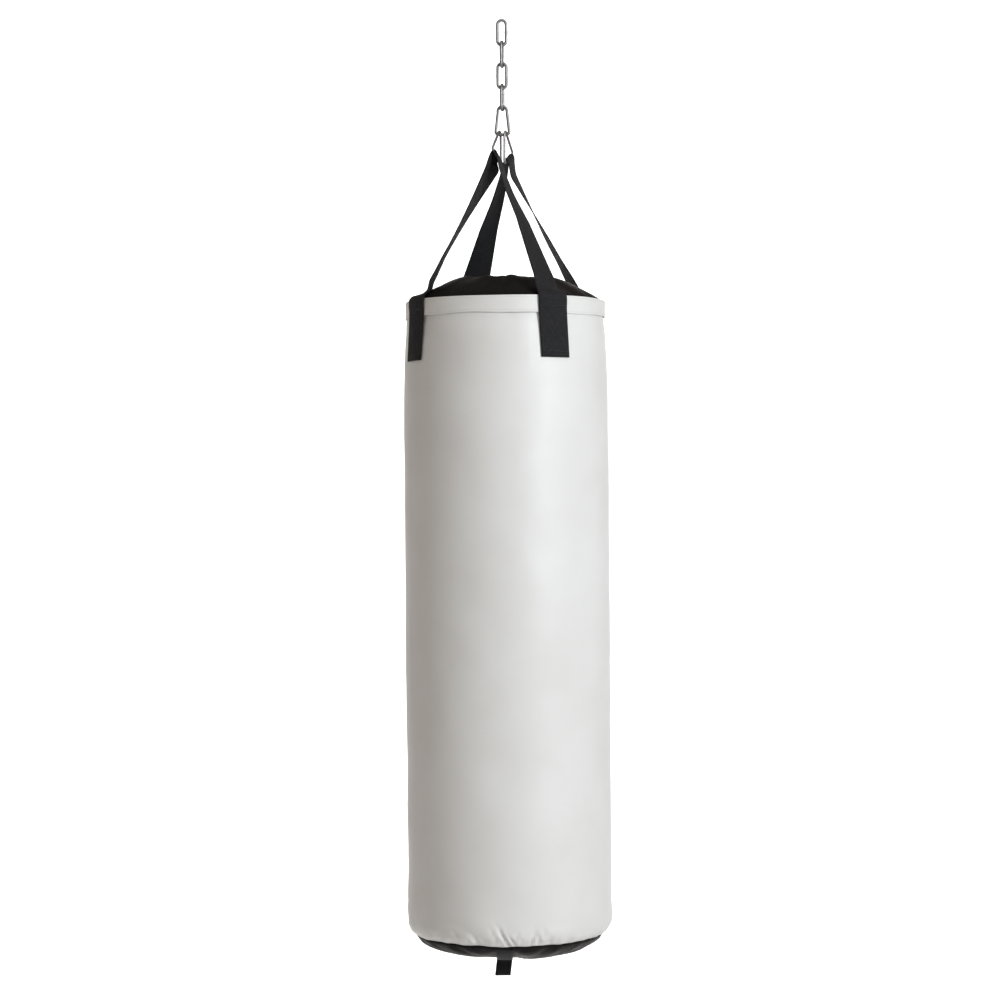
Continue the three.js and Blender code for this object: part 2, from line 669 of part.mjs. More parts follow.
// Two plates joined by a web between the rows of teeth, with a bail on top for the pull
function addSlider() {
  const half = SLIDER_LENGTH / 2;
  const plateBottom = TEETH_TOP + GAP;
  const plateTop = plateBottom + PLATE_THICKNESS;
  const lowerTop = TEETH_BOTTOM - GAP;
  const lowerBottom = lowerTop - PLATE_THICKNESS;
  const webHalf = TEETH_INNER - GAP;
  const eyeTop = plateTop + BAIL_EYE_HEIGHT;
  const bailHalf = BAIL_INNER + BAIL_WIRE;
  const middle = 0.5 * PLATE_THICKNESS; // how far the web and the bail run into the plates
  const block = (halfLength, halfWidth, low, high) =>
    boxBetween(v3(-halfLength, -halfWidth, low), v3(halfLength, halfWidth, high));
  const body = joined(
    block(half, SLIDER_HALF_WIDTH, plateBottom, plateTop),
    block(half, SLIDER_HALF_WIDTH, lowerBottom, lowerTop),
    block(half, webHalf, lowerTop - middle, plateBottom + middle),
    block(bailHalf, BAIL_HALF_WIDTH, plateTop - middle, eyeTop + BAIL_WIRE),
  );
  const eye = block(BAIL_INNER, CLEAR, plateTop, eyeTop);
  addToBag("zip_slider", cut(body, eye), ZIP_METAL).position.x = SLIDER_REST_X;

  const pullZ = (plateTop + eyeTop - PULL_THICKNESS) / 2;
  addToBag("zip_pull", pullTab(), ZIP_METAL).position.set(SLIDER_REST_X, 0, pullZ);
}

// The tab lies along -X from the bail, its slot round the bail's left post
function pullTab() {
  const barHalf = 0.6;
  const endCentre = PULL_HALF_WIDTH - PULL_LENGTH;
  const outline = new THREE.Shape();
  outline.moveTo(barHalf, -PULL_HALF_WIDTH);
  outline.lineTo(barHalf, PULL_HALF_WIDTH);
  outline.lineTo(endCentre, PULL_HALF_WIDTH);
  outline.absarc(endCentre, 0, PULL_HALF_WIDTH, Math.PI / 2, (3 * Math.PI) / 2);
  const slot = [
    v2(-barHalf, -SLOT_HALF),
    v2(-barHalf, SLOT_HALF),
    v2(PULL_SLOT_END, SLOT_HALF),
    v2(PULL_SLOT_END, -SLOT_HALF),
  ];
  outline.holes.push(new THREE.Path(slot));
  const options = { depth: PULL_THICKNESS, bevelEnabled: false, curveSegments: 6 };
  return new THREE.ExtrudeGeometry(outline, options);
}

const frontRing = ringFrame(RING_TURN, RING_PIVOTS_X.front);
const rearRing = ringFrame(RING_TURN + Math.PI, RING_PIVOTS_X.rear);
addChain();
addHook();
addRing("strap_ring_front", frontRing);
addRing("strap_ring_rear", rearRing);
addStrap("hanging_strap_front", frontRing, { rim: -61, tail: -63.5 }, { rim: 27.2, tail: 28.6 });
addStrap("hanging_strap_rear", rearRing, { rim: 125, tail: 126 }, { rim: 203, tail: 203 });
addShell();
addLid();
addPadding();
addZip();
addSlider();
addBottom();
addBottomStrap();

export default part;
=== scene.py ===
"""Looks for a hanging punch bag: chain, snap hook, rings, webbing, padded bag and zipped lid.

Metres, +Z up, front towards -Y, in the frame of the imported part. The numbers in millimetres below
repeat the part's own, so that every piece lies where its solid does.
"""

import math

import bmesh
import bpy
import numpy as np
from mathutils import Matrix, Vector, noise


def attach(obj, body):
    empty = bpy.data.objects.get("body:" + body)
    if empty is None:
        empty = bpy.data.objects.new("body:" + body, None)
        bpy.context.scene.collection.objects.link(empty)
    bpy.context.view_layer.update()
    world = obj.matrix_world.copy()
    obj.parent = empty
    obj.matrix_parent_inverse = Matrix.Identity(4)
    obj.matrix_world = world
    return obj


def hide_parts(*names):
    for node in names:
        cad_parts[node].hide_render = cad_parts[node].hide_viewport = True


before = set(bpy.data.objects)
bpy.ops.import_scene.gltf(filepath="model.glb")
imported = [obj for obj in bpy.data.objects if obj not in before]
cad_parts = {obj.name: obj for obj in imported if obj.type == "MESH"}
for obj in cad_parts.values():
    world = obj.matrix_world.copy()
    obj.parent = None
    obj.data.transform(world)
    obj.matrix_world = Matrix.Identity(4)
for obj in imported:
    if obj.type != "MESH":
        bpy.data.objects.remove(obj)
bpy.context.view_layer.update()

MM = 0.001
TAU = 2 * math.pi

# Chain
WIRE = 5
LINK_INNER = 35
LINK_BOW = 7
LINK_PITCH = 34.7
LINK_TURN = math.radians(78)  # of every other link

# Snap hook and its gate
HOOK_TOP = -138.8
HOOK_LENGTH = 50
HOOK_TOP_RADIUS = 7.2
HOOK_CORNER = 5
HOOK_FLAT_HALF = 5.7
HOOK_BAR_Z = HOOK_TOP + WIRE / 2 - (HOOK_LENGTH - WIRE)
GATE_PIN_DROP = 5
GATE_LENGTH = 23.7
GATE_RADIUS = 2.3
EYE_RADIUS = 2.1
TONGUE_HALF = 0.9
SLOT_HALF = 1.2
SHOULDER = 2.7
PIN_RADIUS = 0.7
PIN_HOLE = PIN_RADIUS + 0.15
PIN_HALF = 2.6
NOSE_SLOT = 2.8
NOSE_ROOT = -20
SPRING_BORE = 1.15
SPRING_END = -10.2
SPRING_TURNS = 5
SPRING_COIL = 0.75
SPRING_WIRE = 0.2
CUTTER_HALF = 4  # enough to pass through the wire

# Triangular rings
RING_WIRE = 4
RING_CROWN = 5
RING_CORNER = 3
RING_CORNER_HALF = 20.5
RING_BAR_DROP = 40.5
RING_PIVOTS = {"front": -4.7, "rear": 4.7}
RING_TURN = math.radians(-17.5)
RING_LEAN = math.radians(24)
RING_WELD = (14.2, -18.5)  # along the bar, and up from the crown's centre

# Webbing
WEB_WIDTH = 50
WEB_AT_BAR = 34
WEB_THICKNESS = 1.8
WEB_BAR_RADIUS = 3.4
WEB_WRAP = math.radians(68)
TAIL_LENGTH = 99
LEGS = {  # azimuth at the rim and at the tail's end, from the front towards +X, in degrees
    "front": ((-61, -63.5), (27.2, 28.6)),
    "rear": ((125, 126), (203, 203)),
}
# How each leg folds in over the rim: the share of the way up, and how far its outer edge moves in
FOLDS = {
    "front": ((0.055, 28), (0.06, 15)),
    "rear": ((0.06, 15), (0.06, 15)),
}
# How each leg twists and bows between the rim and its ring, left leg first: the share of the way
# up, with the vector across the webbing there, and with the leg's shift towards +X
TURNS = {
    "front": (
        [
            (0.06, (-6, -48.5, 0)),
            (0.12, (-4.5, -48.8, 1)),
            (0.2, (-3, -49, 1)),
            (0.3, (-1.5, -49, 1)),
            (0.41, (-2, -49, 2)),
            (0.56, (-4.5, -48, 5)),
            (0.72, (-8, -46, 10.5)),
            (0.87, (-13, -40, 16)),
            (0.94, (-16, -36, 18)),
        ],
        [],
    ),
    "rear": (
        [
            (0.1, (-13, 47, 0)),
            (0.25, (-7, 48, 0)),
            (0.41, (-4.5, 48, 0)),
            (0.6, (2, 47, 1.5)),
            (0.87, (8, 36, 10)),
        ],
        [(0.12, (-45, -19, 0))],
    ),
}
BOWS = {
    "front": (
        [(0.06, -1), (0.12, -0.9), (0.25, -1.2), (0.41, 0.7), (0.72, 3.9), (0.87, 5.3), (0.94, 4.6)],
        [(0.5, 0), (0.72, -4), (0.87, -3)],
    ),
    "rear": ([(0.1, -1), (0.41, -5), (0.72, -8), (0.87, -9)], [(0.5, 0), (0.72, 3), (0.87, 2)]),
}

# Bag, with radii from its own axis
BAG_X = 2.5
RIM_Z = -452
SEAM_Z = -1468
HEM_HEIGHT = 26
HEM_RADIUS = 160.8
HEM_MIDDLE = HEM_RADIUS - 0.85  # between its two layers
SHELL_PROFILE = [  # height, radius
    (SEAM_Z, 152.5), (-1459.5, 158.8), (-1449, 163.0), (-1433, 164.8), (-1400, 164.6),
    (-1250, 164.8), (-850, 165.4), (-620, 164.4), (-540, 162.6), (-500, 161.2),
    (-482, 159.9), (-478.3, 159.5), (RIM_Z, 159.4),
]
LID_PROFILE = [  # radius, height over the rim
    (80, 36), (95, 31.5), (110, 25.5), (125, 18), (140, 10),
    (150, 3.5), (157.3, -4),
]
LID_TOP = RIM_Z + 36
CLOTH_THICKNESS = 1.2
WALL_THICKNESS = 1.8
LINER_THICKNESS = 20
PAD_GAP = 0.3
BULGE = 33
BULGE_POWER = 0.65
BOTTOM_RADIUS = 150.7

# Zip
SLIT = (74, 6)
TEETH_HALF = 70
TEETH_INNER = 0.8
TEETH_OUTER = 3
TAPE = (76, 16)
TAPE_TOP = LID_TOP - 2.3
TEETH_TOP = TAPE_TOP + 1.3
TEETH_BOTTOM = TAPE_TOP - 1.4
TOOTH_PITCH = 2
SLIDER_X = -62
SLIDER_TOP = TEETH_TOP + 1.3
TAB_LENGTH = 20
TAB_END = 2.6

# Bottom webbing
BOTTOM_WEB = 25
BOTTOM_WEB_X = -9
LOOP_BOTTOM = -1532
LOOP_HALF = 8
LOOP_LEAN = 0.12
LOOP_CORNER = 4


# ---- materials


class Nodes:
    """A material's node tree, with short calls for the nodes used here."""

    def __init__(self, name):
        self.material = bpy.data.materials.new(name)
        self.material.use_nodes = True
        self.tree = self.material.node_tree
        self.surface = self.tree.nodes["Principled BSDF"]

    def add(self, kind, inputs=None, **settings):
        node = self.tree.nodes.new(kind)
        for key, value in settings.items():
            setattr(node, key, value)
        for key, value in (inputs or {}).items():
            self.put(node.inputs[key], value)
        return node

    def put(self, socket, value):
        if isinstance(value, bpy.types.NodeSocket):
            self.tree.links.new(value, socket)
        else:
            socket.default_value = value

    def set(self, **values):
        for key, value in values.items():
            self.put(self.surface.inputs[key.replace("_", " ")], value)

    def math(self, operation, a, b=0.0):
        node = self.add("ShaderNodeMath", operation=operation)
        self.put(node.inputs[0], a)
        self.put(node.inputs[1], b)
        return node.outputs[0]

    def place(self):
        return self.add("ShaderNodeTexCoord").outputs["Object"]

    def noise(self, scale, detail=3.0, vector=None, stretch=None):
        vector = vector or self.place()
        if stretch:
            vector = self.add("ShaderNodeMapping", {"Vector": vector, "Scale": stretch}).outputs[0]
        inputs = {"Vector": vector, "Scale": scale, "Detail": detail}
        return self.add("ShaderNodeTexNoise", inputs).outputs["Fac"]

    def ramp(self, factor, low, high, start=0.3, end=0.7):
        """low below start, high above end"""
        node = self.add("ShaderNodeValToRGB", {"Fac": factor})
        for element, place, value in zip(node.color_ramp.elements, (start, end), (low, high)):
            element.position = place
            element.color = (*value, 1) if isinstance(value, tuple) else (value,) * 3 + (1,)
        return node.outputs["Color"]

    def bump(self, height, distance, strength=1.0, normal=None):
        inputs = {"Height": height, "Distance": distance, "Strength": strength}
        if normal:
            inputs["Normal"] = normal
        return self.add("ShaderNodeBump", inputs).outputs["Normal"]


def zinc(name, colour=0.38, edge=0.36):
    """Zinc-plated steel: dull patches, patchy roughness and a fine even bump"""
    n = Nodes(name)
    patches = n.noise(90, 4)
    n.set(
        Base_Color=n.ramp(patches, (colour * 0.72, colour * 0.73, colour * 0.74), (colour,) * 3),
        Metallic=1.0,
        Specular_Tint=(edge, edge, edge, 1),
        Roughness=n.ramp(n.noise(160, 5), 0.36, 0.54),
        Normal=n.bump(n.noise(900, 4), 0.00008, 0.5),
    )
    return n.material


def vinyl(name, dark, light, roughness, grain, shine):
    """Coated cloth: leather grain, slow changes of tone and of gloss"""
    n = Nodes(name)
    cells = n.add("ShaderNodeTexVoronoi", {"Vector": n.place(), "Scale": 620.0, "Randomness": 1.0})
    cells.feature = "DISTANCE_TO_EDGE"
    creases = n.math("MINIMUM", cells.outputs["Distance"], 0.12)
    fine = n.bump(n.noise(1400, 3), 0.00006, grain)
    n.set(
        Base_Color=n.ramp(n.noise(7, 4), dark, light),
        Roughness=n.ramp(n.noise(30, 4), *roughness),
        Normal=n.bump(creases, 0.0006, grain, fine),
        Specular_IOR_Level=shine,
    )
    return n.material


def woven(name, dark, light, across=1.55, along=2.3, depth=0.00025, sheen=0.03):
    """Webbing in a plain weave. Its UV map is in millimetres: across the width, then along it."""
    n = Nodes(name)
    uv = n.add("ShaderNodeSeparateXYZ", {"Vector": n.add("ShaderNodeUVMap").outputs[0]})
    rib = n.math("DIVIDE", uv.outputs[0], across)
    pick = n.math("DIVIDE", uv.outputs[1], along)
    odd = n.math("MULTIPLY", n.math("FLOOR", rib), 0.5)
    turn = n.math("MULTIPLY", n.math("ADD", pick, odd), TAU)
    over = n.math("ADD", n.math("MULTIPLY", n.math("SINE", turn), 0.5), 0.5)
    crown = n.math("SINE", n.math("MULTIPLY", n.math("FRACT", rib), math.pi))
    height = n.math("MULTIPLY", crown, n.math("ADD", n.math("MULTIPLY", over, 0.65), 0.35))
    fibre = n.noise(2600, 2, stretch=(1, 1, 0.25))
    # Random tone, with painted shade: by the weave's height, the hollows between the threads are darker
    # and the threads' crowns lighter
    shaded_weave = n.add(
        "ShaderNodeMix",
        {
            "Factor": n.math("MULTIPLY", height, 0.8),
            "A": n.ramp(n.noise(45, 3), tuple(c * 0.6 for c in dark), dark),
            "B": n.ramp(n.noise(260, 3), dark, light),
        },
        data_type="RGBA",
    )
    n.set(
        Base_Color=shaded_weave.outputs["Result"],
        Roughness=n.ramp(fibre, 0.62, 0.85),
        Normal=n.bump(height, depth, 0.9, n.bump(fibre, 0.0001, 0.5)),
        Sheen_Weight=sheen,
        Sheen_Roughness=0.45,
        Specular_IOR_Level=0.2,
    )
    return n.material


def moulded(name, dark, light, roughness=(0.38, 0.55), metallic=0.0):
    """Small moulded or painted pieces with a fine orange-peel"""
    n = Nodes(name)
    n.set(
        Base_Color=n.ramp(n.noise(200, 3), dark, light),
        Roughness=n.ramp(n.noise(420, 4), *roughness),
        Metallic=metallic,
        Normal=n.bump(n.noise(1200, 3), 0.00008, 0.4),
    )
    return n.material


def fibrous(name, dark, light, scale=120):
    """Foam, thread and stuffing"""
    n = Nodes(name)
    n.set(
        Base_Color=n.ramp(n.noise(scale, 5), dark, light),
        Roughness=n.ramp(n.noise(scale * 3, 3), 0.75, 0.95),
        Normal=n.bump(n.noise(scale * 4, 4), 0.0006, 0.7),
        Sheen_Weight=0.2,
    )
    return n.material


STEEL = zinc("zinc_steel")
DARK_STEEL = zinc("hook_steel", 0.34)
WHITE_VINYL = vinyl("white_vinyl", (0.76, 0.755, 0.745), (0.81, 0.81, 0.805), (0.4, 0.5), 0.3, 0.55)
BLACK_VINYL = vinyl("black_vinyl", (0.009, 0.008, 0.008), (0.015, 0.013, 0.013), (0.36, 0.5), 0.5, 0.035)
WEBBING = woven("webbing", (0.013, 0.013, 0.015), (0.034, 0.034, 0.039))
ZIP_TAPE = woven("zip_tape", (0.006, 0.006, 0.007), (0.016, 0.016, 0.017), 0.7, 0.9, 0.00015)
NYLON = moulded("zip_nylon", (0.008, 0.008, 0.009), (0.02, 0.02, 0.021))
ZIP_METAL = moulded("zip_enamel", (0.03, 0.03, 0.032), (0.075, 0.075, 0.08), (0.25, 0.42), 0.9)
WHITE_THREAD = fibrous("white_thread", (0.55, 0.54, 0.51), (0.72, 0.7, 0.67), 900)
BLACK_THREAD = fibrous("black_thread", (0.009, 0.009, 0.011), (0.02, 0.02, 0.024), 900)
FOAM = fibrous("foam", (0.44, 0.4, 0.32), (0.58, 0.54, 0.44))
STUFFING = fibrous("stuffing", (0.12, 0.12, 0.14), (0.4, 0.36, 0.32), 60)


# ---- mesh helpers


def linked(name, data):
    """A new object of the scene, with a mesh, a light or a camera"""
    thing = bpy.data.objects.new(name, data)
    bpy.context.scene.collection.objects.link(thing)
    return thing


def smooth(mesh):
    """Shades every face smoothly"""
    mesh.polygons.foreach_set("use_smooth", [True] * len(mesh.polygons))


def turn_outwards(mesh):
    """Makes the faces' normals agree, outwards where the mesh is closed"""
    built = bmesh.new()
    built.from_mesh(mesh)
    bmesh.ops.recalc_face_normals(built, faces=built.faces)
    built.to_mesh(mesh)
    built.free()


def piece(name, vertices, faces, material, body, slot, nodes=(), uvs=None, outwards=True):
    """A mesh object from millimetre vertices, riding on a CAD body and standing for CAD nodes.
    uvs is one pair per vertex. Its faces are turned outwards, unless outwards is False."""
    mesh = bpy.data.meshes.new(name)
    mesh.from_pydata([tuple(np.asarray(v, float) * MM) for v in vertices], [], faces)
    mesh.validate()
    if uvs is not None:
        layer = mesh.uv_layers.new(name="UVMap")
        for loop in mesh.loops:
            layer.data[loop.index].uv = uvs[loop.vertex_index]
    mesh.materials.append(material)
    smooth(mesh)
    if outwards:
        turn_outwards(mesh)
    thing = linked(name, mesh)
    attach(thing, body)
    if nodes:
        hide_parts(*nodes)
    return thing


def grid_faces(rows, columns, close_rows=False, close_columns=False, start=0):
    faces = []
    for i in range(rows if close_rows else rows - 1):
        for j in range(columns if close_columns else columns - 1):
            a, b = i * columns, ((i + 1) % rows) * columns
            k = (j + 1) % columns
            faces.append([start + a + j, start + a + k, start + b + k, start + b + j])
    return faces


def end_caps(columns, total):
    """The faces that close a tube of total vertices at its first row and at its last"""
    return [list(range(columns))[::-1], [total - columns + j for j in range(columns)]]


def apply_modifiers(thing):
    """Replaces the object's mesh with its evaluated one"""
    depsgraph = bpy.context.evaluated_depsgraph_get()
    mesh = bpy.data.meshes.new_from_object(thing.evaluated_get(depsgraph))
    thing.modifiers.clear()
    old, thing.data = thing.data, mesh
    bpy.data.meshes.remove(old)


def round_edges(thing, width, segments=3):
    bevel = thing.modifiers.new("bevel", "BEVEL")
    bevel.width = width * MM
    bevel.segments = segments
    bevel.limit_method = "ANGLE"
    bevel.angle_limit = math.radians(35)
    apply_modifiers(thing)
    smooth(thing.data)
    thing.data.set_sharp_from_angle(angle=math.radians(50))


def combine(thing, operation, vertices, faces, matrix=None):
    """Cuts a millimetre mesh out of the piece (DIFFERENCE) or joins it on (UNION), after placing it
    by a matrix in millimetres"""
    mesh = bpy.data.meshes.new("tool")
    placed = [Vector(v) if matrix is None else matrix @ Vector(v) for v in vertices]
    mesh.from_pydata([v * MM for v in placed], [], faces)
    turn_outwards(mesh)
    tool = linked("tool", mesh)
    modifier = thing.modifiers.new(operation.lower(), "BOOLEAN")
    modifier.operation = operation
    modifier.solver = "EXACT"
    modifier.object = tool
    apply_modifiers(thing)
    bpy.data.objects.remove(tool)


def box_mesh(half_x, half_y, low, high):
    corners = [(x, y, z) for x in (-half_x, half_x) for y in (-half_y, half_y) for z in (low, high)]
    faces = [[0, 1, 3, 2], [4, 6, 7, 5], [0, 4, 5, 1], [2, 3, 7, 6], [0, 2, 6, 4], [1, 5, 7, 3]]
    return corners, faces


def rod_mesh(radius, low, high, axis, sides=32, dome=0.0):
    """A rod along axis "Y" or "Z", with rounded edges where dome is given"""
    profile = [(radius, low + dome), (radius, high - dome)]
    if dome:
        profile = [(radius * 0.72, low + dome * 0.22), *profile, (radius * 0.72, high - dome * 0.22)]
    profile = [(0.02, low), *profile, (0.02, high)]
    vertices = []
    for r, h in profile:
        for j in range(sides):
            a, b = r * math.cos(TAU * j / sides), r * math.sin(TAU * j / sides)
            vertices.append((a, h, -b) if axis == "Y" else (a, b, h))
    return vertices, grid_faces(len(profile), sides, close_columns=True) + end_caps(sides, len(vertices))


def belt(pulleys, spacing=0.7):
    """Even points round counter-clockwise pulleys (x, y, r), as an array of x and y"""
    count = len(pulleys)
    leaving = []
    for i, (x, y, r) in enumerate(pulleys):
        to_x, to_y, to_r = pulleys[(i + 1) % count]
        dx, dy = to_x - x, to_y - y
        leaving.append(math.atan2(dy, dx) - math.acos((r - to_r) / math.hypot(dx, dy)))
    corners = []
    for i, (x, y, r) in enumerate(pulleys):
        begin = leaving[i - 1]
        sweep = (leaving[i] - begin) % TAU or TAU
        for share in np.linspace(0, 1, 40):
            angle = begin + sweep * share
            corners.append((x + r * math.cos(angle), y + r * math.sin(angle)))
    corners.append(corners[0])
    return resampled(np.array(corners), spacing)[:-1]


def resampled(points, spacing):
    """The same line with evenly spaced points, both ends kept"""
    lengths = np.linalg.norm(np.diff(points, axis=0), axis=1)
    along = np.concatenate([[0], np.cumsum(lengths)])
    keep = np.concatenate([[True], lengths > 1e-9])
    steps = max(4, round(along[-1] / spacing))
    wanted = np.linspace(0, along[-1], steps + 1)
    return np.stack([np.interp(wanted, along[keep], points[keep, k]) for k in range(points.shape[1])], 1)


def wire_mesh(points, flat_normal, radii, sides=16, closed=True, flatten=1.0):
    """Round wire along points, which lie in a plane: a ring, or open with flat ends. radii is one
    number or one per point. flatten scales the wire's thickness along the plane's normal."""
    points = [Vector(p) for p in points]
    flat_normal = Vector(flat_normal).normalized()
    last = len(points) - 1
    radii = np.broadcast_to(radii, len(points))
    vertices = []
    for i, point in enumerate(points):
        before = points[i - 1] if closed or i else point
        after = points[(i + 1) % len(points)] if closed or i < last else point
        out = (after - before).normalized().cross(flat_normal).normalized()
        for j in range(sides):
            angle = TAU * j / sides
            lift = math.sin(angle) * flatten * flat_normal
            vertices.append(point + float(radii[i]) * (math.cos(angle) * out + lift))
    faces = grid_faces(len(points), sides, closed, True)
    return vertices, faces if closed else faces + end_caps(sides, len(vertices))


def weld(points, place, radius, swell=0.09, half=2.2):
    """Wire radii with a weld bead round one place: a raised collar with ripples"""
    steps = np.linalg.norm(np.asarray(points, float) - np.asarray(place, float), axis=1)
    collar = np.exp(-((steps / half) ** 4))
    return radius * (1 + swell * collar * (1 + 0.25 * np.cos(steps * 3.2)))


def catmull(rows, parts):
    """Rows of points, resampled on smooth curves through them with parts steps per interval"""
    rows = np.asarray(rows, float)
    padded = np.concatenate([2 * rows[:1] - rows[1:2], rows, 2 * rows[-1:] - rows[-2:-1]])
    out = []
    for i in range(len(rows) - 1):
        p0, p1, p2, p3 = padded[i : i + 4]
        scale = np.linalg.norm(p2 - p1, axis=-1, keepdims=True)
        before = np.maximum(np.linalg.norm(p1 - p0, axis=-1, keepdims=True), 1e-6)
        after = np.maximum(np.linalg.norm(p3 - p2, axis=-1, keepdims=True), 1e-6)
        m1 = tangent_of(p0, p1, p2, before, scale)
        m2 = tangent_of(p1, p2, p3, scale, after)
        for k in range(parts):
            t = k / parts
            a, b = 2 * t**3 - 3 * t**2 + 1, t**3 - 2 * t**2 + t
            c, d = 3 * t**2 - 2 * t**3, t**3 - t**2
            out.append(a * p1 + b * m1 * scale + c * p2 + d * m2 * scale)
    out.append(rows[-1])
    return np.array(out)


def tangent_of(before, here, after, step_in, step_out):
    """Direction of a smooth curve at a point, from its neighbours and their distances"""
    into = (here - before) / step_in
    out = (after - here) / step_out
    return (into * step_out + out * step_in) / (step_in + step_out)


def ribbon(name, rows, width, thickness, material, body, slot, nodes=(), selvedge=0.18):
    """Webbing from rows of points across it: rounded edges, slightly thicker selvedges and a UV map
    in millimetres. Returns its normals, for stitches."""
    rows = np.asarray(rows, float)
    count, columns = rows.shape[:2]
    along = np.gradient(rows, axis=0)
    across = np.gradient(rows, axis=1)
    normal = np.cross(along, across)
    normal /= np.linalg.norm(normal, axis=2, keepdims=True)
    share = np.linspace(-1, 1, columns)
    edge = np.minimum(1, (1 - np.abs(share)) * (columns - 1) / 2)
    half = thickness / 2 * np.where(edge < 0.5, 0.45, 1.0)
    half = half + selvedge / 2 * (np.abs(np.abs(share) - 0.86) < 0.09)
    top = rows + normal * half[None, :, None]
    under = rows - normal * half[None, :, None]
    loop = np.concatenate([top, under[:, ::-1]], axis=1)
    step = np.linalg.norm(np.diff(rows[:, columns // 2], axis=0), axis=1)
    length = np.concatenate([[0], np.cumsum(step)])
    around = np.concatenate([share, share[::-1] + 4])
    u = np.repeat(around[None, :] * width / 2, count, axis=0)
    v = np.repeat(length[:, None], loop.shape[1], axis=1)
    vertices = loop.reshape(-1, 3)
    faces = grid_faces(count, loop.shape[1], close_columns=True)
    for row in (0, count - 1):
        base = row * loop.shape[1]
        for j in range(columns - 1):
            quad = [base + j, base + j + 1, base + 2 * columns - 2 - j, base + 2 * columns - 1 - j]
            faces.append(quad if row == 0 else quad[::-1])
    uvs = np.stack([u.reshape(-1), v.reshape(-1)], 1)
    piece(name, vertices, faces, material, body, slot, nodes, uvs)
    return normal


def stitches(name, lines, material, body, slot, pitch=3.6, length=2.7, radius=0.32):
    """Rows of stitches along lines. Each line is (points, normals); each stitch is a short thread
    that dives into the cloth at both ends."""
    vertices, faces = [], []
    profile = [(-0.5, -0.9), (-0.36, 0.35), (0, 0.75), (0.36, 0.35), (0.5, -0.9)]
    sides = 6
    for points, normals in lines:
        points, normals = np.asarray(points, float), np.asarray(normals, float)
        both = resampled(np.concatenate([points, normals], axis=1), pitch)
        for i in range(len(both) - 1):
            a, b = both[i], both[i + 1]
            direction = b[:3] - a[:3]
            size = np.linalg.norm(direction)
            if size < 1e-6:
                continue
            direction /= size
            normal = (a[3:] + b[3:]) / 2
            normal -= direction * normal.dot(direction)
            normal /= np.linalg.norm(normal)
            side = np.cross(direction, normal)
            middle = (a[:3] + b[:3]) / 2
            start = len(vertices)
            for share, lift in profile:
                centre = middle + direction * share * length + normal * lift * radius
                for j in range(sides):
                    angle = TAU * j / sides
                    ring = math.cos(angle) * side * radius + math.sin(angle) * normal * radius * 0.7
                    vertices.append(centre + ring)
            faces += grid_faces(len(profile), sides, close_columns=True, start=start)
    piece(name, vertices, faces, material, body, slot, outwards=False)


# ---- chain


def build_chain():
    reach = LINK_INNER / 2 - (LINK_BOW - WIRE / 2)
    outline = belt([(0, reach, LINK_BOW), (0, -reach, LINK_BOW)])
    for i in range(4):
        middle = -i * LINK_PITCH - LINK_INNER / 2
        turn = LINK_TURN if i % 2 else 0
        along = Vector((math.cos(turn), math.sin(turn), 0))
        flat = Vector((-math.sin(turn), math.cos(turn), 0))
        points = [along * x + Vector((0, 0, middle + y)) for x, y in outline]
        bead = along * (LINK_BOW if i < 2 else -LINK_BOW) + Vector((0, 0, middle))
        mesh = wire_mesh(points, flat, weld(points, bead, WIRE / 2))
        link = f"link_{i + 1}"
        piece(f"{link}_welded", *mesh, STEEL, link, "chain_steel", [f"chain_{link}"])


# ---- snap hook


def hook_pulleys():
    corner = HOOK_BAR_Z + HOOK_CORNER
    return [
        (0, HOOK_TOP + WIRE / 2 - HOOK_TOP_RADIUS, HOOK_TOP_RADIUS),
        (-HOOK_FLAT_HALF, corner, HOOK_CORNER),
        (HOOK_FLAT_HALF, corner, HOOK_CORNER),
    ]


def limb_matrix():
    """The left limb's frame: origin at the gate's pin, -Z down along the limb"""
    top, corner, _ = hook_pulleys()
    dx, dy = corner[0] - top[0], corner[1] - top[1]
    normal = math.atan2(dy, dx) - math.acos((top[2] - corner[2]) / math.hypot(dx, dy))
    turn = Matrix.Rotation(-(math.pi + normal), 4, "Y")
    start = Vector((top[0] + top[2] * math.cos(normal), 0, top[1] + top[2] * math.sin(normal)))
    return Matrix.Translation(start + turn @ Vector((0, 0, -GATE_PIN_DROP))) @ turn


def in_limb(vertices, faces):
    """A mesh made in the limb's frame, moved to its place"""
    limb = limb_matrix()
    return [limb @ Vector(v) for v in vertices], faces


def shape_steel(thing, steps):
    """Cuts and joins meshes in the limb's frame, one after the other"""
    limb = limb_matrix()
    for operation, mesh in steps:
        combine(thing, operation, *mesh, limb)
    thing.data.set_sharp_from_angle(angle=math.radians(40))


def build_hook():
    nose_end = -GATE_LENGTH - NOSE_SLOT
    points = [(x, 0, y) for x, y in belt(hook_pulleys(), 0.8)]
    mesh = wire_mesh(points, (0, 1, 0), WIRE / 2, 24)
    body = piece("hook_forged", *mesh, DARK_STEEL, "hook", "hook_steel", ["snap_hook_body"])
    steps = [
        ("DIFFERENCE", box_mesh(CUTTER_HALF, CUTTER_HALF, -GATE_LENGTH, SHOULDER)),
        ("DIFFERENCE", box_mesh(CUTTER_HALF, SLOT_HALF, nose_end, NOSE_ROOT)),
        ("UNION", box_mesh(2, TONGUE_HALF, 0, SHOULDER + 0.5)),
        ("UNION", rod_mesh(EYE_RADIUS, -TONGUE_HALF, TONGUE_HALF, "Y")),
        ("DIFFERENCE", rod_mesh(PIN_HOLE, -CUTTER_HALF, CUTTER_HALF, "Y")),
    ]
    shape_steel(body, steps)


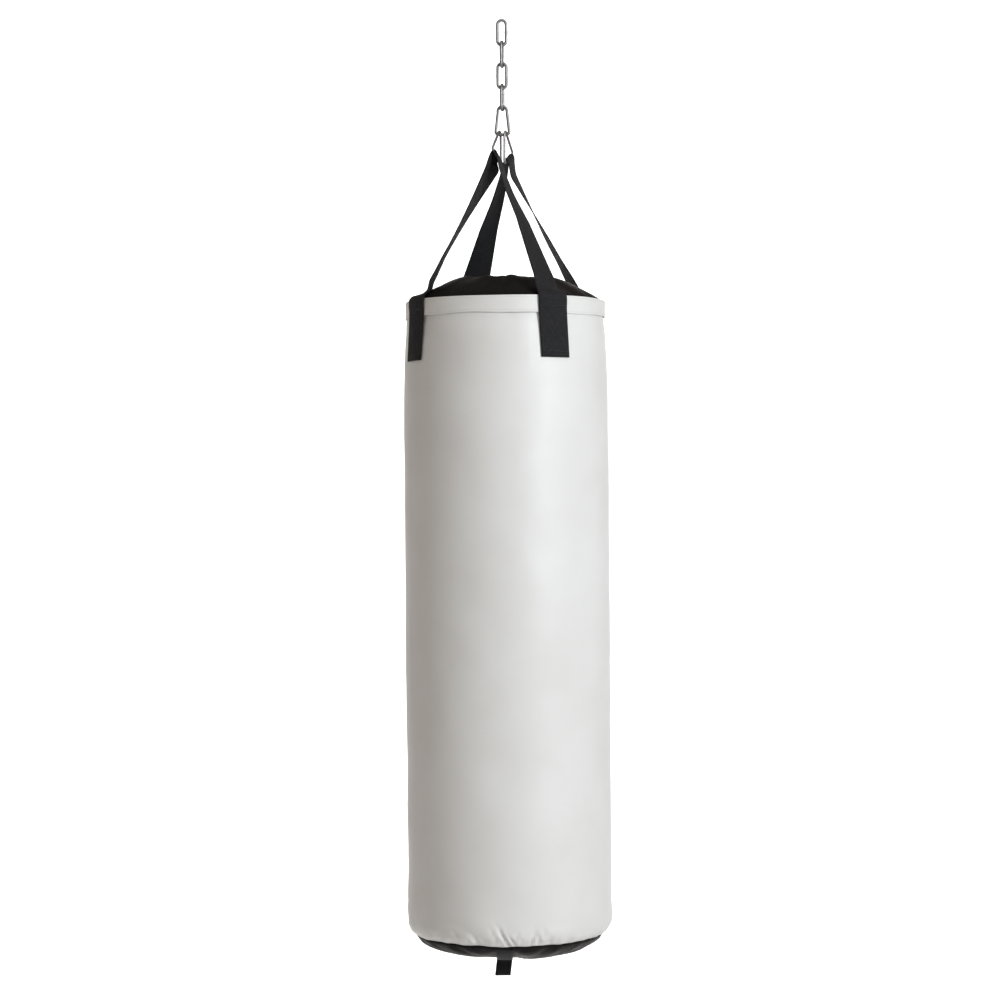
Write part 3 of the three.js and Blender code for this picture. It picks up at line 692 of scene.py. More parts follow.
def build_gate():
    """The gate, with its tongue for the nose and its slot for the hinge, and then its rivet"""
    nose_end = -GATE_LENGTH - NOSE_SLOT
    mesh = in_limb(*rod_mesh(GATE_RADIUS, 0.3 - GATE_LENGTH, -1, "Z", dome=0.35))
    gate = piece("gate_turned", *mesh, STEEL, "gate", "hook_steel", ["snap_hook_gate"])
    steps = [
        ("UNION", box_mesh(1.6, 0.9, nose_end + 0.3, NOSE_ROOT)),
        ("UNION", rod_mesh(GATE_RADIUS, -GATE_RADIUS, GATE_RADIUS, "Y", dome=0.3)),
        ("DIFFERENCE", box_mesh(CUTTER_HALF, SLOT_HALF, -EYE_RADIUS - 0.5, CUTTER_HALF)),
        ("DIFFERENCE", rod_mesh(SPRING_BORE, SPRING_END, 0, "Z")),
        ("DIFFERENCE", rod_mesh(PIN_HOLE, -CUTTER_HALF, CUTTER_HALF, "Y")),
    ]
    shape_steel(gate, steps)
    rivet = in_limb(*rod_mesh(PIN_RADIUS, -PIN_HALF, PIN_HALF, "Y", 24, dome=0.3))
    piece("gate_rivet", *rivet, STEEL, "hook", "hook_steel", ["gate_pin"])


def build_spring():
    low, high = SPRING_END + 0.5, -EYE_RADIUS - 1
    rows, sides = 24 * SPRING_TURNS, 8
    vertices = []
    for share in np.linspace(0, 1, rows):
        angle = TAU * SPRING_TURNS * share
        out = Vector((math.cos(angle), math.sin(angle), 0))
        centre = SPRING_COIL * out + Vector((0, 0, low + (high - low) * share))
        for j in range(sides):
            tilt = TAU * j / sides
            vertices.append(centre + SPRING_WIRE * (math.cos(tilt) * out + Vector((0, 0, math.sin(tilt)))))
    faces = grid_faces(rows, sides, close_columns=True) + end_caps(sides, len(vertices))
    mesh = in_limb(vertices, faces)
    piece("gate_coil", *mesh, STEEL, "gate", "hook_steel", ["gate_spring"])


# ---- rings


def ring_frame(side):
    """Directions of one ring: along its bar, up to its crown and off its face; then its pivot"""
    turn = RING_TURN + (math.pi if side == "rear" else 0)
    ahead = Vector((math.sin(turn), -math.cos(turn), 0))
    z = Vector((0, 0, 1))
    bar = ahead * math.cos(RING_LEAN) + z * math.sin(RING_LEAN)
    up = z * math.cos(RING_LEAN) - ahead * math.sin(RING_LEAN)
    off = Vector((math.cos(turn), math.sin(turn), 0))
    return bar, up, off, Vector((RING_PIVOTS[side], 0, HOOK_BAR_Z))


def build_rings():
    height = RING_CORNER - RING_BAR_DROP
    corners = [(-RING_CORNER_HALF, height, RING_CORNER), (RING_CORNER_HALF, height, RING_CORNER)]
    outline = belt([(0, 0, RING_CROWN), *corners], 0.6)
    for side in ("front", "rear"):
        bar, up, _, pivot = ring_frame(side)
        *points, bead = [pivot + bar * x + up * y for x, y in [*outline, RING_WELD]]
        mesh = wire_mesh(points, bar.cross(up), weld(points, bead, RING_WIRE / 2))
        piece(f"ring_{side}_welded", *mesh, STEEL, "bag", "ring_steel", [f"strap_ring_{side}"])


# ---- hanging straps

TAIL_ROWS = 27  # of a strap's rows, under the stitches at either end


def shell_radius(z):
    heights, radii = zip(*SHELL_PROFILE)
    return np.interp(z, heights, radii)


def tail_row(azimuth, z, across, columns):
    radius = max(HEM_RADIUS, shell_radius(z)) + 0.4 + WEB_THICKNESS / 2
    angles = math.radians(azimuth) + across * columns * WEB_WIDTH / 2 / radius
    x, y = BAG_X + radius * np.sin(angles), -radius * np.cos(angles)
    return np.stack([x, y, np.full(len(columns), z)], 1)


def bar_row(ring, angle, columns):
    bar, up, off, pivot = ring
    centre = pivot - up * RING_BAR_DROP
    point = centre + WEB_BAR_RADIUS * (math.cos(angle) * up + math.sin(angle) * off)
    return np.array([point + bar * float(c) for c in columns * WEB_AT_BAR / 2])


def leg_rows(leg, across, top_row, columns, fold_over, turns, bows):
    """Rows of webbing from the tail's end up to top_row on the ring. across is +1 or -1, so that
    both legs join up as one strap."""
    rim_azimuth, tail_azimuth = leg
    rim_z = RIM_Z + 3
    rows = []
    for share in (0, 0.25, 0.5, 0.75, 1):
        azimuth = tail_azimuth + (rim_azimuth - tail_azimuth) * share
        rows.append(tail_row(azimuth, rim_z - TAIL_LENGTH * (1 - share), across, columns))
    rim = rows[-1]
    inward = np.array([BAG_X, 0, 0]) - rim * [1, 1, 0]
    inward /= np.linalg.norm(inward, axis=1, keepdims=True)
    fold_share, fold_in = fold_over
    fold = rim + (top_row - rim) * fold_share + inward * (fold_in * (1 - columns) / 2)[:, None]
    rows.append(fold)
    widths = [(s, np.array(w) * across) for s, w in turns]
    widths = [(0, fold[-1] - fold[0]), *widths, (1, top_row[-1] - top_row[0])]
    shares = [s for s, _ in widths]
    bows = [(0, 0), *bows, (1, 0)]
    middle, top_middle = fold[len(columns) // 2], top_row.mean(axis=0)
    for share in np.linspace(0, 1, 17)[1:-1]:
        width = np.array([np.interp(share, shares, [w[k] for _, w in widths]) for k in range(3)])
        bow = np.interp(share, [s for s, _ in bows], [x for _, x in bows])
        centre = middle + (top_middle - middle) * share + [bow, 0, 0]
        rows.append(centre + columns[:, None] * width / 2)
    return rows


def build_strap(side):
    columns = np.linspace(-1, 1, 15)
    ring = ring_frame(side)
    wrap = [bar_row(ring, WEB_WRAP * (i / 3 - 1), columns) for i in range(7)]
    shapes = zip(LEGS[side], (1, -1), (wrap[0], wrap[-1]), FOLDS[side], TURNS[side], BOWS[side])
    left, right = [leg_rows(leg, sign, top, columns, *rest) for leg, sign, top, *rest in shapes]
    rows = catmull([*left, *wrap, *right[::-1]][::-1], 8)
    webbing = (WEB_WIDTH, WEB_THICKNESS, WEBBING, "bag", "strap_webbing")
    normals = ribbon(f"strap_{side}_webbing", rows, *webbing, [f"hanging_strap_{side}"])
    lines = []
    for flip in (1, -1):
        lines += patch_lines(rows[::flip][:TAIL_ROWS], normals[::flip][:TAIL_ROWS])
    stitches(f"strap_{side}_stitching", lines, BLACK_THREAD, "bag", "strap_webbing")


def patch_lines(rows, normals):
    """A box of stitches with a cross in it, near the start of a strip of webbing"""
    facing = normals * outward_sign(rows, normals)
    surface = rows + facing * WEB_THICKNESS / 2
    high = len(rows) - 1
    low = round(high * 0.12)
    near, far = 1, rows.shape[1] - 2

    def line(*stops):
        at, face = [], []
        for (i0, j0), (i1, j1) in zip(stops, stops[1:]):
            for share in np.linspace(0, 1, 24):
                at.append(sampled(surface, i0 + (i1 - i0) * share, j0 + (j1 - j0) * share))
                face.append(sampled(facing, i0 + (i1 - i0) * share, j0 + (j1 - j0) * share))
        return np.array(at), np.array(face)

    box = line((low, near), (low, far), (high, far), (high, near), (low, near))
    return [box, line((low, near), (high, far)), line((low, far), (high, near))]


def outward_sign(rows, normals):
    """+1 where the normals point away from the bag's axis, -1 where they point at it"""
    centre = len(rows) // 2, rows.shape[1] // 2
    away = rows[centre] - [BAG_X, 0, 0]
    return 1.0 if normals[centre][:2].dot(away[:2]) > 0 else -1.0


def sampled(grid, i, j):
    i0, j0 = min(int(i), len(grid) - 2), min(int(j), grid.shape[1] - 2)
    u, v = i - i0, j - j0
    near = grid[i0, j0] * (1 - v) + grid[i0, j0 + 1] * v
    return near * (1 - u) + (grid[i0 + 1, j0] * (1 - v) + grid[i0 + 1, j0 + 1] * v) * u


# ---- the bag's skin: lid, shell and bottom in one, so that they meet along their seams

COLUMNS = 176
CROWDING = 0.5  # of the columns towards the front
ROW_STEP = 6.5
FINE_BELOW = -1425  # rows are twice as close from here to the bottom seam
SEAM_SHIFT = 1.5  # of the bottom seam towards -X
SEAM_RISE = 5  # of the bottom seam at the bag's left and right
LINER_RADIUS = 159.1  # the least the skin's outer face may come to
CLOTH_SCALE = 10  # the simulated skin is this much larger than the real one
CLOTH_FRAMES = 25
CLOTH = {
    "quality": 6,
    "mass": 0.15,
    "tension_stiffness": 30,
    "compression_stiffness": 12,
    "shear_stiffness": 5,
    "bending_stiffness": 0.08,
    "tension_damping": 5,
    "compression_damping": 5,
    "air_damping": 2,
    "vertex_group_mass": "hold",
    "pin_stiffness": 5,
    "vertex_group_shrink": "tight",
    "shrink_min": -0.09,
    "shrink_max": 0.0,
    "use_pressure": True,
    "uniform_pressure_force": 1.6,
}


def bulge(radius):
    return BULGE * np.maximum(0, 1 - (radius / BOTTOM_RADIUS) ** 2) ** BULGE_POWER


def skin_profile():
    """Radius and height down the whole skin, with the numbers of the rows at the two seams"""
    lid = [(2.5, LID_TOP), (40, LID_TOP), *[(r, RIM_Z + h) for r, h in LID_PROFILE]]
    wall = [(r, z) for z, r in SHELL_PROFILE[::-1]]
    under_angles = np.radians(np.linspace(88, 1, 40))
    under_radii = [BOTTOM_RADIUS * math.sin(angle) for angle in under_angles]
    under = [(r, SEAM_Z - bulge(r)) for r in under_radii]
    wall = catmull(np.array(wall, float)[:, None, :], 8)[:, 0]
    low = wall[:, 1] < FINE_BELOW
    coarse = resampled(np.concatenate([wall[~low], wall[low][:1]]), ROW_STEP)
    fine = resampled(wall[low], ROW_STEP / 2)
    parts = [smoothed_line(lid, ROW_STEP), coarse, fine[1:], smoothed_line(under, ROW_STEP)]
    lid_rows, coarse_rows, fine_rows, _ = [len(part) for part in parts]
    return np.concatenate(parts), (lid_rows, lid_rows + coarse_rows + fine_rows)


def smoothed_line(points, spacing):
    return resampled(catmull(np.array(points, float)[:, None, :], 8)[:, 0], spacing)


def periodic(azimuth, height, scale, seed, stretch=1.0):
    """Smooth noise from -1 to 1 on the bag's wall, without a join where the azimuth closes"""
    spread = 160.0 / scale
    at = Vector((math.cos(azimuth) * spread, math.sin(azimuth) * spread, height / scale * stretch))
    return noise.noise(at + Vector((seed * 17.3, seed * 5.1, seed * 9.7))) * 1.6


def on_bag(radius, azimuth, z):
    """A point from its distance to the bag's axis and its azimuth, from the front towards +X"""
    return BAG_X + radius * math.sin(azimuth), -radius * math.cos(azimuth), z


def skin_vertices(line, rim_row):
    even = TAU * np.arange(COLUMNS) / COLUMNS
    azimuths = even - CROWDING * np.sin(even)
    vertices = []
    for i, (radius, z) in enumerate(line):
        for azimuth in azimuths:
            r, h = radius, z
            if i >= rim_row:
                seam = math.exp(-(((z - SEAM_Z) / 16) ** 2))
                h += 1.1 * seam * periodic(azimuth, 0, 20, 3)
                r += 0.6 * seam * periodic(azimuth, 0, 26, 4)
                h += SEAM_RISE * math.exp(-(((z - SEAM_Z) / 9) ** 2)) * math.sin(azimuth) ** 2
                r -= SEAM_SHIFT * seam * math.sin(azimuth)
            vertices.append(on_bag(r, azimuth, h))
    return np.array(vertices)


def skin_weights(vertices, rows, seams):
    """For each vertex: how firmly the simulation holds it, and how much spare cloth it has"""
    hold = np.zeros(len(vertices))
    spare = np.zeros(len(vertices))
    z = vertices[:, 2]
    x, y = vertices[:, 0] - BAG_X, vertices[:, 1]
    for seam in seams:
        hold[np.abs(rows - seam) <= 1] = 1
    on_lid, under = rows < seams[0], rows >= seams[1]
    on_wall = ~on_lid & ~under
    hold[on_lid & (np.abs(y) < 20) & (np.abs(x) < 82)] = 1
    hold[under & (np.abs(x - BOTTOM_WEB_X) < 15)] = 1
    hold[(rows == 0) | (rows == rows.max())] = 1
    spare[on_lid] = 0.35
    spare[under] = 0.4
    above = z[on_wall] - SEAM_Z
    below = RIM_Z - HEM_HEIGHT - z[on_wall]
    spare[on_wall] = np.exp(-above / 34) + 0.3 * np.exp(-np.maximum(below, 0) / 30)
    azimuths = np.arctan2(x, -y)
    uneven = [abs(periodic(a, h, 42, 31)) for a, h in zip(azimuths, z)]
    return hold, np.minimum(1, spare * (0.3 + np.array(uneven)))


def simulated(vertices, faces, hold, spare):
    """Blows the skin up a little as cloth, with its seams held and spare cloth along them"""
    mesh = bpy.data.meshes.new("skin_rest")
    large = [tuple(v) for v in vertices * MM * CLOTH_SCALE]
    mesh.from_pydata(large, [], [face[::-1] for face in faces])
    cloth = linked("skin_rest", mesh)
    for name, weights in (("hold", hold), ("tight", 1 - spare)):
        group = cloth.vertex_groups.new(name=name)
        for index in np.nonzero(weights > 0.001)[0]:
            group.add([int(index)], float(min(weights[index], 1)), "REPLACE")
    modifier = cloth.modifiers.new("cloth", "CLOTH")
    for key, value in CLOTH.items():
        setattr(modifier.settings, key, value)
    modifier.settings.effector_weights.gravity = 0
    modifier.point_cache.frame_start = 1
    modifier.point_cache.frame_end = CLOTH_FRAMES + 5
    scene = bpy.context.scene
    for step in range(CLOTH_FRAMES):
        scene.frame_set(step + 1)
    evaluated = cloth.evaluated_get(bpy.context.evaluated_depsgraph_get())
    out = np.empty(len(vertices) * 3)
    evaluated.data.vertices.foreach_get("co", out)
    scene.frame_set(1)
    bpy.data.objects.remove(cloth)
    return out.reshape(-1, 3) / MM / CLOTH_SCALE


def limited(start, moved, normals, rows, seams):
    """The simulated skin, with its mean swelling taken out and its moves kept off its neighbours"""
    z = start[:, 2]
    shift = moved - start
    out = (shift * normals).sum(1)
    side = shift - out[:, None] * normals
    swelling = out.reshape(-1, COLUMNS).mean(axis=1)
    out = out - np.repeat(swelling, COLUMNS)
    lid, wall = rows < seams[0], (rows >= seams[0]) & (rows < seams[1])
    radius = np.hypot(start[:, 0] - BAG_X, start[:, 1])
    most = np.where(lid, 2.0, np.where(wall, 1.6, 3.0))
    least = np.where(lid, -5.0, np.where(wall, np.clip(LINER_RADIUS - radius, -4, -0.2), -0.8))
    azimuth = np.degrees(np.arctan2(start[:, 0] - BAG_X, -start[:, 1]))
    for rim, tail in [leg for pair in LEGS.values() for leg in pair]:
        away = np.abs((azimuth - (rim + tail) / 2 + 180) % 360 - 180)
        under_tail = wall & (away < 13) & (z > RIM_Z - TAIL_LENGTH - 15)
        most[under_tail] = 0.1
    most[wall & (z > RIM_Z - HEM_HEIGHT - 4)] = 0.0
    out = np.clip(out, least, most)
    size = np.linalg.norm(side, axis=1, keepdims=True)
    side *= np.minimum(1, 1.5 / np.maximum(size, 1e-9))
    return start + out[:, None] * normals + side


def row_normals(vertices, count):
    grid = vertices.reshape(count, COLUMNS, 3)
    along = np.gradient(grid, axis=0)
    around = np.roll(grid, -1, axis=1) - np.roll(grid, 1, axis=1)
    normal = np.cross(along, around)
    normal /= np.maximum(np.linalg.norm(normal, axis=2, keepdims=True), 1e-9)
    return normal.reshape(-1, 3)


def lumps(vertices, wall):
    """Unevenness of the filling behind the wall, and the puckers that thread pulls at its ends"""
    out = np.zeros(len(vertices))
    for index in np.nonzero(wall)[0]:
        x, y, z = vertices[index]
        azimuth = math.atan2(x - BAG_X, -y)
        soft = periodic(azimuth, z, 120, 1) + 0.5 * periodic(azimuth, z, 55, 2)
        out[index] = 0.9 * soft - 0.9
        near = math.exp(-max(0, z - SEAM_Z - 4) / 17)
        out[index] -= 2.2 * near * max(0, periodic(azimuth, z, 19, 6, 0.35)) ** 1.2
        under_hem = math.exp(-max(0, RIM_Z - HEM_HEIGHT - z) / 45)
        out[index] -= 1.3 * under_hem * max(0, periodic(azimuth, z, 42, 7, 0.4))
    return out


PUCKERS = [  # azimuth, height over the seam, half width, half length, lean, depth
    (-3.5, 14, 2.4, 14, 0.55, 4.8),
    (1.5, 8, 2.2, 10, 0.75, 3.6),
    (12.5, 7, 2.2, 9, -0.2, 3.8),
    (17, 6, 2.2, 7, 0.3, 2.8),
    (-20, 8, 3.0, 9, 0.4, 1.6),
    (38, 8, 3.2, 10, -0.4, 1.7),
    (-52, 12, 4.0, 14, 0.5, 2.0),
    (62, 12, 4.0, 14, -0.5, 2.2),
    (104, 10, 3.2, 13, 0.4, 2.4),
    (150, 12, 3.4, 15, -0.5, 2.6),
    (186, 10, 3.0, 12, 0.5, 2.4),
    (228, 11, 3.6, 13, -0.3, 2.2),
    (268, 10, 3.2, 12, 0.4, 2.3),
]


def puckered(vertices, normals, wall):
    """Narrow leaning folds pulled in over the bottom seam, each with a small ridge on both sides"""
    azimuth = np.arctan2(vertices[:, 0] - BAG_X, -vertices[:, 1])
    over = vertices[:, 2] - SEAM_Z
    move = np.zeros(len(vertices))
    for centre, height, width, length, lean, depth in PUCKERS:
        around = (azimuth - math.radians(centre) + math.pi) % TAU - math.pi
        across = around * 160 + lean * (over - height)
        fold = np.exp(-(((over - height) / length) ** 2))
        trough = np.exp(-((across / width) ** 2))
        ridge = np.exp(-(((np.abs(across) - 2.2 * width) / width) ** 2))
        move += depth * fold * (0.35 * ridge - trough)
    move[~wall] = 0
    return vertices + normals * move[:, None]


def build_skin():
    """Makes the lid, the wall and the base. Returns the wall's last row and its normals."""
    line, seams = skin_profile()
    count = len(line)
    rows = np.repeat(np.arange(count), COLUMNS)
    start = skin_vertices(line, seams[0])
    normals = row_normals(start, count)
    shape = start
    faces = grid_faces(count, COLUMNS, close_columns=True) + end_caps(COLUMNS, len(start))
    moved = simulated(start, faces, *skin_weights(start, rows, seams))
    shape = limited(start, moved, normals, rows, seams)
    wall = (rows >= seams[0] + 2) & (rows < seams[1])
    shape = shape + normals * lumps(start, wall)[:, None]
    shape = puckered(shape, normals, wall)
    looks = [
        ("lid_skin", "lid_panel", BLACK_VINYL, "lid_fabric", 0.6, 0, seams[0] + 1),
        ("wall_skin", "shell", WHITE_VINYL, "shell_fabric", 0.95, seams[0] + 2, seams[1] + 1),
        ("base_skin", "bottom_panel", BLACK_VINYL, "lid_fabric", 0.9, seams[1], count),
    ]
    made = []
    for name, node, material, slot, fill, low, high in looks:
        part = shape[low * COLUMNS : high * COLUMNS]
        caps = end_caps(COLUMNS, len(part))
        faces = grid_faces(high - low, COLUMNS, close_columns=True)
        faces += caps[:1] * (low == 0) + caps[1:] * (high == count)
        skin = piece(name, part, faces, material, "bag", slot, [node])
        solidify = skin.modifiers.new("cloth", "SOLIDIFY")
        solidify.thickness = CLOTH_THICKNESS * MM
        solidify.offset = -1
        apply_modifiers(skin)
        made.append(skin)
    slit = slab_mesh(rounded_outline(*SLIT, 2.5), LID_TOP - 6, LID_TOP + 12)
    combine(made[0], "DIFFERENCE", *slit)
    last = slice((seams[1] - 1) * COLUMNS, seams[1] * COLUMNS)
    return shape[last], normals[last]


def rounded_outline(half_x, half_y, radius, steps=8):
    points = []
    for quarter, (sx, sy) in enumerate([(1, 1), (-1, 1), (-1, -1), (1, -1)]):
        for k in range(steps + 1):
            angle = (quarter + k / steps) * math.pi / 2
            x = sx * (half_x - radius) + radius * math.cos(angle)
            points.append((x, sy * (half_y - radius) + radius * math.sin(angle)))
    return points


def slab_mesh(outline, low, high, x0=BAG_X):
    """A flat plate from a counter-clockwise outline of x, counted from x0, and y"""
    vertices = [(x0 + x, y, z) for z in (low, high) for x, y in outline]
    faces = grid_faces(2, len(outline), close_columns=True)
    return vertices, faces + end_caps(len(outline), len(vertices))


def merged(*meshes):
    vertices, faces = [], []
    for more, their_faces in meshes:
        start = len(vertices)
        vertices += [tuple(v) for v in more]
        faces += [[start + k for k in face] for face in their_faces]
    return vertices, faces


# ---- hem round the top, and seams


def on_hem(angle, outset, z, upper):
    """A point of the hem, which waves a little, in other places above than below"""
    radius = HEM_MIDDLE + outset - 0.3 * abs(periodic(angle, 0, 46, 11 + upper))
    return on_bag(radius, angle, z + (0.5 if upper else 1.5) * periodic(angle, 0, 75, 13 + upper))


def build_hem():
    angles = TAU * np.arange(2 * COLUMNS) / (2 * COLUMNS)
    bottom, top = RIM_Z - HEM_HEIGHT, RIM_Z + 1
    tilts = [math.pi * k / 4 for k in range(5)]
    section = [(-0.55 * math.cos(t), bottom + 0.5 - 0.5 * math.sin(t), 0) for t in tilts]
    section += [(0.62, bottom + 3, 0), (0.4, bottom + 9, 0), (0.45, top - 8, 1), (0.62, top - 3, 1)]
    section += [(0.6 * math.cos(t), top - 0.6 + 0.6 * math.sin(t), 1) for t in tilts]
    section += [(-0.5, top - 8, 1), (-0.5, bottom + 8, 0)]
    vertices = [on_hem(angle, *point) for point in section for angle in angles]
    faces = grid_faces(len(section), len(angles), True, True)
    piece("hem_folded", vertices, faces, WHITE_VINYL, "bag", "shell_fabric", ["top_hem_band"])
    angles = np.append(angles, TAU)
    facing = [(math.sin(angle), -math.cos(angle), 0) for angle in angles]
    seams = ((0.5, bottom + 3.4, 0), (0.5, top - 3.2, 1))
    lines = [([on_hem(angle, *seam) for angle in angles], facing) for seam in seams]
    stitches("hem_stitching", lines, WHITE_THREAD, "bag", "shell_fabric", 4.2, 3.2, 0.28)


def seam_stitches(row, facing):
    """Stitches along the lower edge of the wall"""
    line = (np.concatenate([row, row[:1]]), np.concatenate([facing, facing[:1]]))
    stitches("base_stitching", [line], WHITE_THREAD, "bag", "shell_fabric", 4.2, 3.2, 0.26)


# ---- zip


def rectangle(left, right, half):
    """Corners of x from left to right and y from -half to half"""
    return [(left, -half), (right, -half), (right, half), (left, half)]


def build_zip():
    for side, name in ((-1, "front"), (1, "rear")):
        across = np.linspace(2.6, TAPE[1], 9) * side
        along = np.linspace(-TAPE[0], TAPE[0], 60)
        rows = [[(BAG_X + x, y, TAPE_TOP - 0.4) for y in across] for x in along]
        tape = (13.4, 0.7, ZIP_TAPE, "bag", "zip_tape", [f"zip_tape_{name}"])
        ribbon(f"tape_{name}_woven", rows, *tape, selvedge=0.05)
        shift = 0.5 if side > 0 else 0.25
        places = (np.arange(round(2 * TEETH_HALF / TOOTH_PITCH)) + shift) * TOOTH_PITCH - TEETH_HALF
        teeth = merged(*[tooth(BAG_X + x, side) for x in places])
        piece(f"teeth_{name}_row", *teeth, NYLON, "bag", "zip_teeth", [f"zip_teeth_{name}"])
    near, far = TEETH_HALF + 0.3, TEETH_HALF + 2.3
    for name, ends in (("left", (-far, -near)), ("right", (near, far))):
        mesh = slab_mesh(rectangle(*ends, 3), TEETH_BOTTOM, TEETH_TOP)
        stop = piece(f"stop_{name}_crimped", *mesh, ZIP_METAL, "bag", "zip_metal", [f"zip_stop_{name}"])
        round_edges(stop, 0.5)
    build_facing()
    build_slider()
    build_pull()


def tooth(x, side):
    """One moulded tooth: a tapered bead from the tape's edge to the middle, round at its head"""
    middle = (TEETH_TOP + TEETH_BOTTOM) / 2
    tall = (TEETH_TOP - TEETH_BOTTOM) / 2
    stations = [  # distance from the middle, half width, share of the height
        (TEETH_OUTER, 0.4, 0.5),
        (2.7, 0.6, 0.95),
        (1.4, 0.5, 0.85),
        (1.05, 0.75, 0.95),
        (TEETH_INNER, 0.45, 0.55),
    ]
    sides = 8
    vertices = []
    for y, half, high in stations:
        for j in range(sides):
            angle = TAU * (j + 0.5) / sides
            z = middle + tall * high * math.sin(angle)
            vertices.append((x + half * math.cos(angle), side * y, z))
    return vertices, grid_faces(len(stations), sides, close_columns=True) + end_caps(sides, len(vertices))


def round_slit(outset, radius, z):
    """Points round the slit, at an even distance from its edge, with the first one repeated"""
    outline = rounded_outline(SLIT[0] + outset, SLIT[1] + outset, radius)
    return [(BAG_X + x, y, z) for x, y in resampled(np.array([*outline, outline[0]]), 1.5)]


def build_facing():
    """The folded edge of the lid's slit, and the stitches that hold the tapes under it"""
    path = round_slit(2.6, 4.5, LID_TOP + 0.1)[:-1]
    facing = wire_mesh(path, (0, 0, 1), 2.5, 12, flatten=0.2)
    piece("slit_facing", *facing, BLACK_VINYL, "bag", "lid_fabric")
    paths = [round_slit(outset, 3 + outset / 2, LID_TOP + 0.5) for outset in (1.4, 4.2)]
    lines = [(path, [(0, 0, 1)] * len(path)) for path in paths]
    stitches("slit_stitching", lines, BLACK_THREAD, "bag", "lid_fabric", 3.2, 2.4, 0.24)


def build_slider():
    x0 = BAG_X + SLIDER_X
    top, lower_top = SLIDER_TOP, TEETH_BOTTOM - 0.3
    bottom = top - 1
    outline = [(-5.5, -2.6), (-4.2, -3.8), (1.5, -5), (4.4, -4.8), (5.5, -3.6)]
    outline += [(x, -y) for x, y in outline[::-1]]
    plates = merged(
        slab_mesh(outline, bottom, top, x0),
        slab_mesh(outline, lower_top - 1, lower_top, x0),
        slab_mesh(rectangle(-5, 5, 0.5), lower_top - 0.5, bottom + 0.5, x0),
    )
    slider = piece("slider_cast", *plates, ZIP_METAL, "slider", "zip_metal", ["zip_slider"])
    round_edges(slider, 0.3)
    arch = [(-2.9, top - 0.4), (-2.9, top + 1.6), (-2.3, top + 2.5), (-1.2, top + 2.75)]
    arch += [(-x, z) for x, z in arch[::-1]]
    path = [(x0 + x, 0, z) for x, z in smoothed_line(arch, 0.3)]
    bail = wire_mesh(path, (0, 1, 0), 0.48, 12, False, 1.6)
    piece("slider_bail", *bail, ZIP_METAL, "slider", "zip_metal")


def build_pull():
    x0 = BAG_X + SLIDER_X
    half_turn = np.linspace(math.pi / 2, 1.5 * math.pi, 16)
    centre = TAB_END - TAB_LENGTH
    end = [(centre + TAB_END * math.cos(a), TAB_END * math.sin(a)) for a in half_turn]
    edge = [(-1, 2.5), (-7, 2.1), (-9, 1.9)]
    tab = [(0.6, -1.9), (0.6, 1.9), *edge, *end, *[(x, -y) for x, y in edge[::-1]]]
    middle = SLIDER_TOP + 1.15
    pull_mesh = slab_mesh(tab, middle - 0.45, middle + 0.45, x0)
    pull = piece("pull_tab", *pull_mesh, ZIP_METAL, "pull", "zip_metal", ["zip_pull"])
    slot = rounded_outline(2.8, 1.2, 0.8, 4)
    hole = [(1.1 * math.cos(a), 1.1 * math.sin(a)) for a in np.linspace(0, TAU, 17)[:-1]]
    for outline, drop in ((slot, 3.4), (hole, 15.6)):
        combine(pull, "DIFFERENCE", *slab_mesh(outline, middle - 3, middle + 3, x0 - drop))
    round_edges(pull, 0.18, 2)


# ---- bottom webbing


def build_bottom_webbing():
    columns = np.linspace(-1, 1, 11)
    lift = 0.7 + WEB_THICKNESS / 2 + 0.4
    turn = LOOP_HALF + LOOP_CORNER
    loop_middle = LOOP_BOTTOM + WEB_THICKNESS / 2
    start = SEAM_Z - float(bulge(turn)) - lift
    rows = []
    for y in np.linspace(BOTTOM_RADIUS - 2.5, turn, 24):
        x = BOTTOM_WEB_X + columns * BOTTOM_WEB / 2
        z = SEAM_Z - bulge(np.minimum(np.hypot(x, y), BOTTOM_RADIUS)) - lift
        rows.append(np.stack([BAG_X + x, np.full(len(x), y), z], 1))
    corner = (1 - math.sqrt(0.5)) * LOOP_CORNER
    turns = [
        (LOOP_HALF + corner, start - corner),
        (LOOP_HALF, start - LOOP_CORNER),
        (LOOP_HALF, loop_middle + LOOP_CORNER),
        (LOOP_HALF - corner, loop_middle + corner),
        (LOOP_HALF - LOOP_CORNER, loop_middle),
    ]
    for y, z in turns:
        x = BAG_X + BOTTOM_WEB_X + columns * BOTTOM_WEB / 2 + LOOP_LEAN * (z - start)
        rows.append(np.stack([x, np.full(len(x), y), np.full(len(x), z)], 1))
    rows = np.array(rows)
    rows = catmull(np.concatenate([rows, rows[::-1] * [1, -1, 1]]), 4)
    webbing = (BOTTOM_WEB, WEB_THICKNESS, WEBBING, "bag", "strap_webbing")
    normals = ribbon("base_webbing", rows, *webbing, ["bottom_strap"])
    down = normals * np.where(normals[len(rows) // 8, 5, 2] < 0, 1, -1)
    patch = slice(64, 90)  # the rows just before the loop, where the webbing is sewn down
    lines = patch_stitches(rows[patch], down[patch])
    lines += patch_stitches(rows[::-1][patch], down[::-1][patch])
    stitches("base_webbing_stitching", lines, BLACK_THREAD, "bag", "strap_webbing", 3.0, 2.3, 0.3)


def patch_stitches(rows, facing):
    """Two rows of stitches along a strip and two across its ends"""
    surface = rows + facing * WEB_THICKNESS / 2
    lines = [(surface[:, j], facing[:, j]) for j in (1, rows.shape[1] - 2)]
    return lines + [(surface[i, 1:-1], facing[i, 1:-1]) for i in (0, len(rows) - 1)]


# ---- padding inside


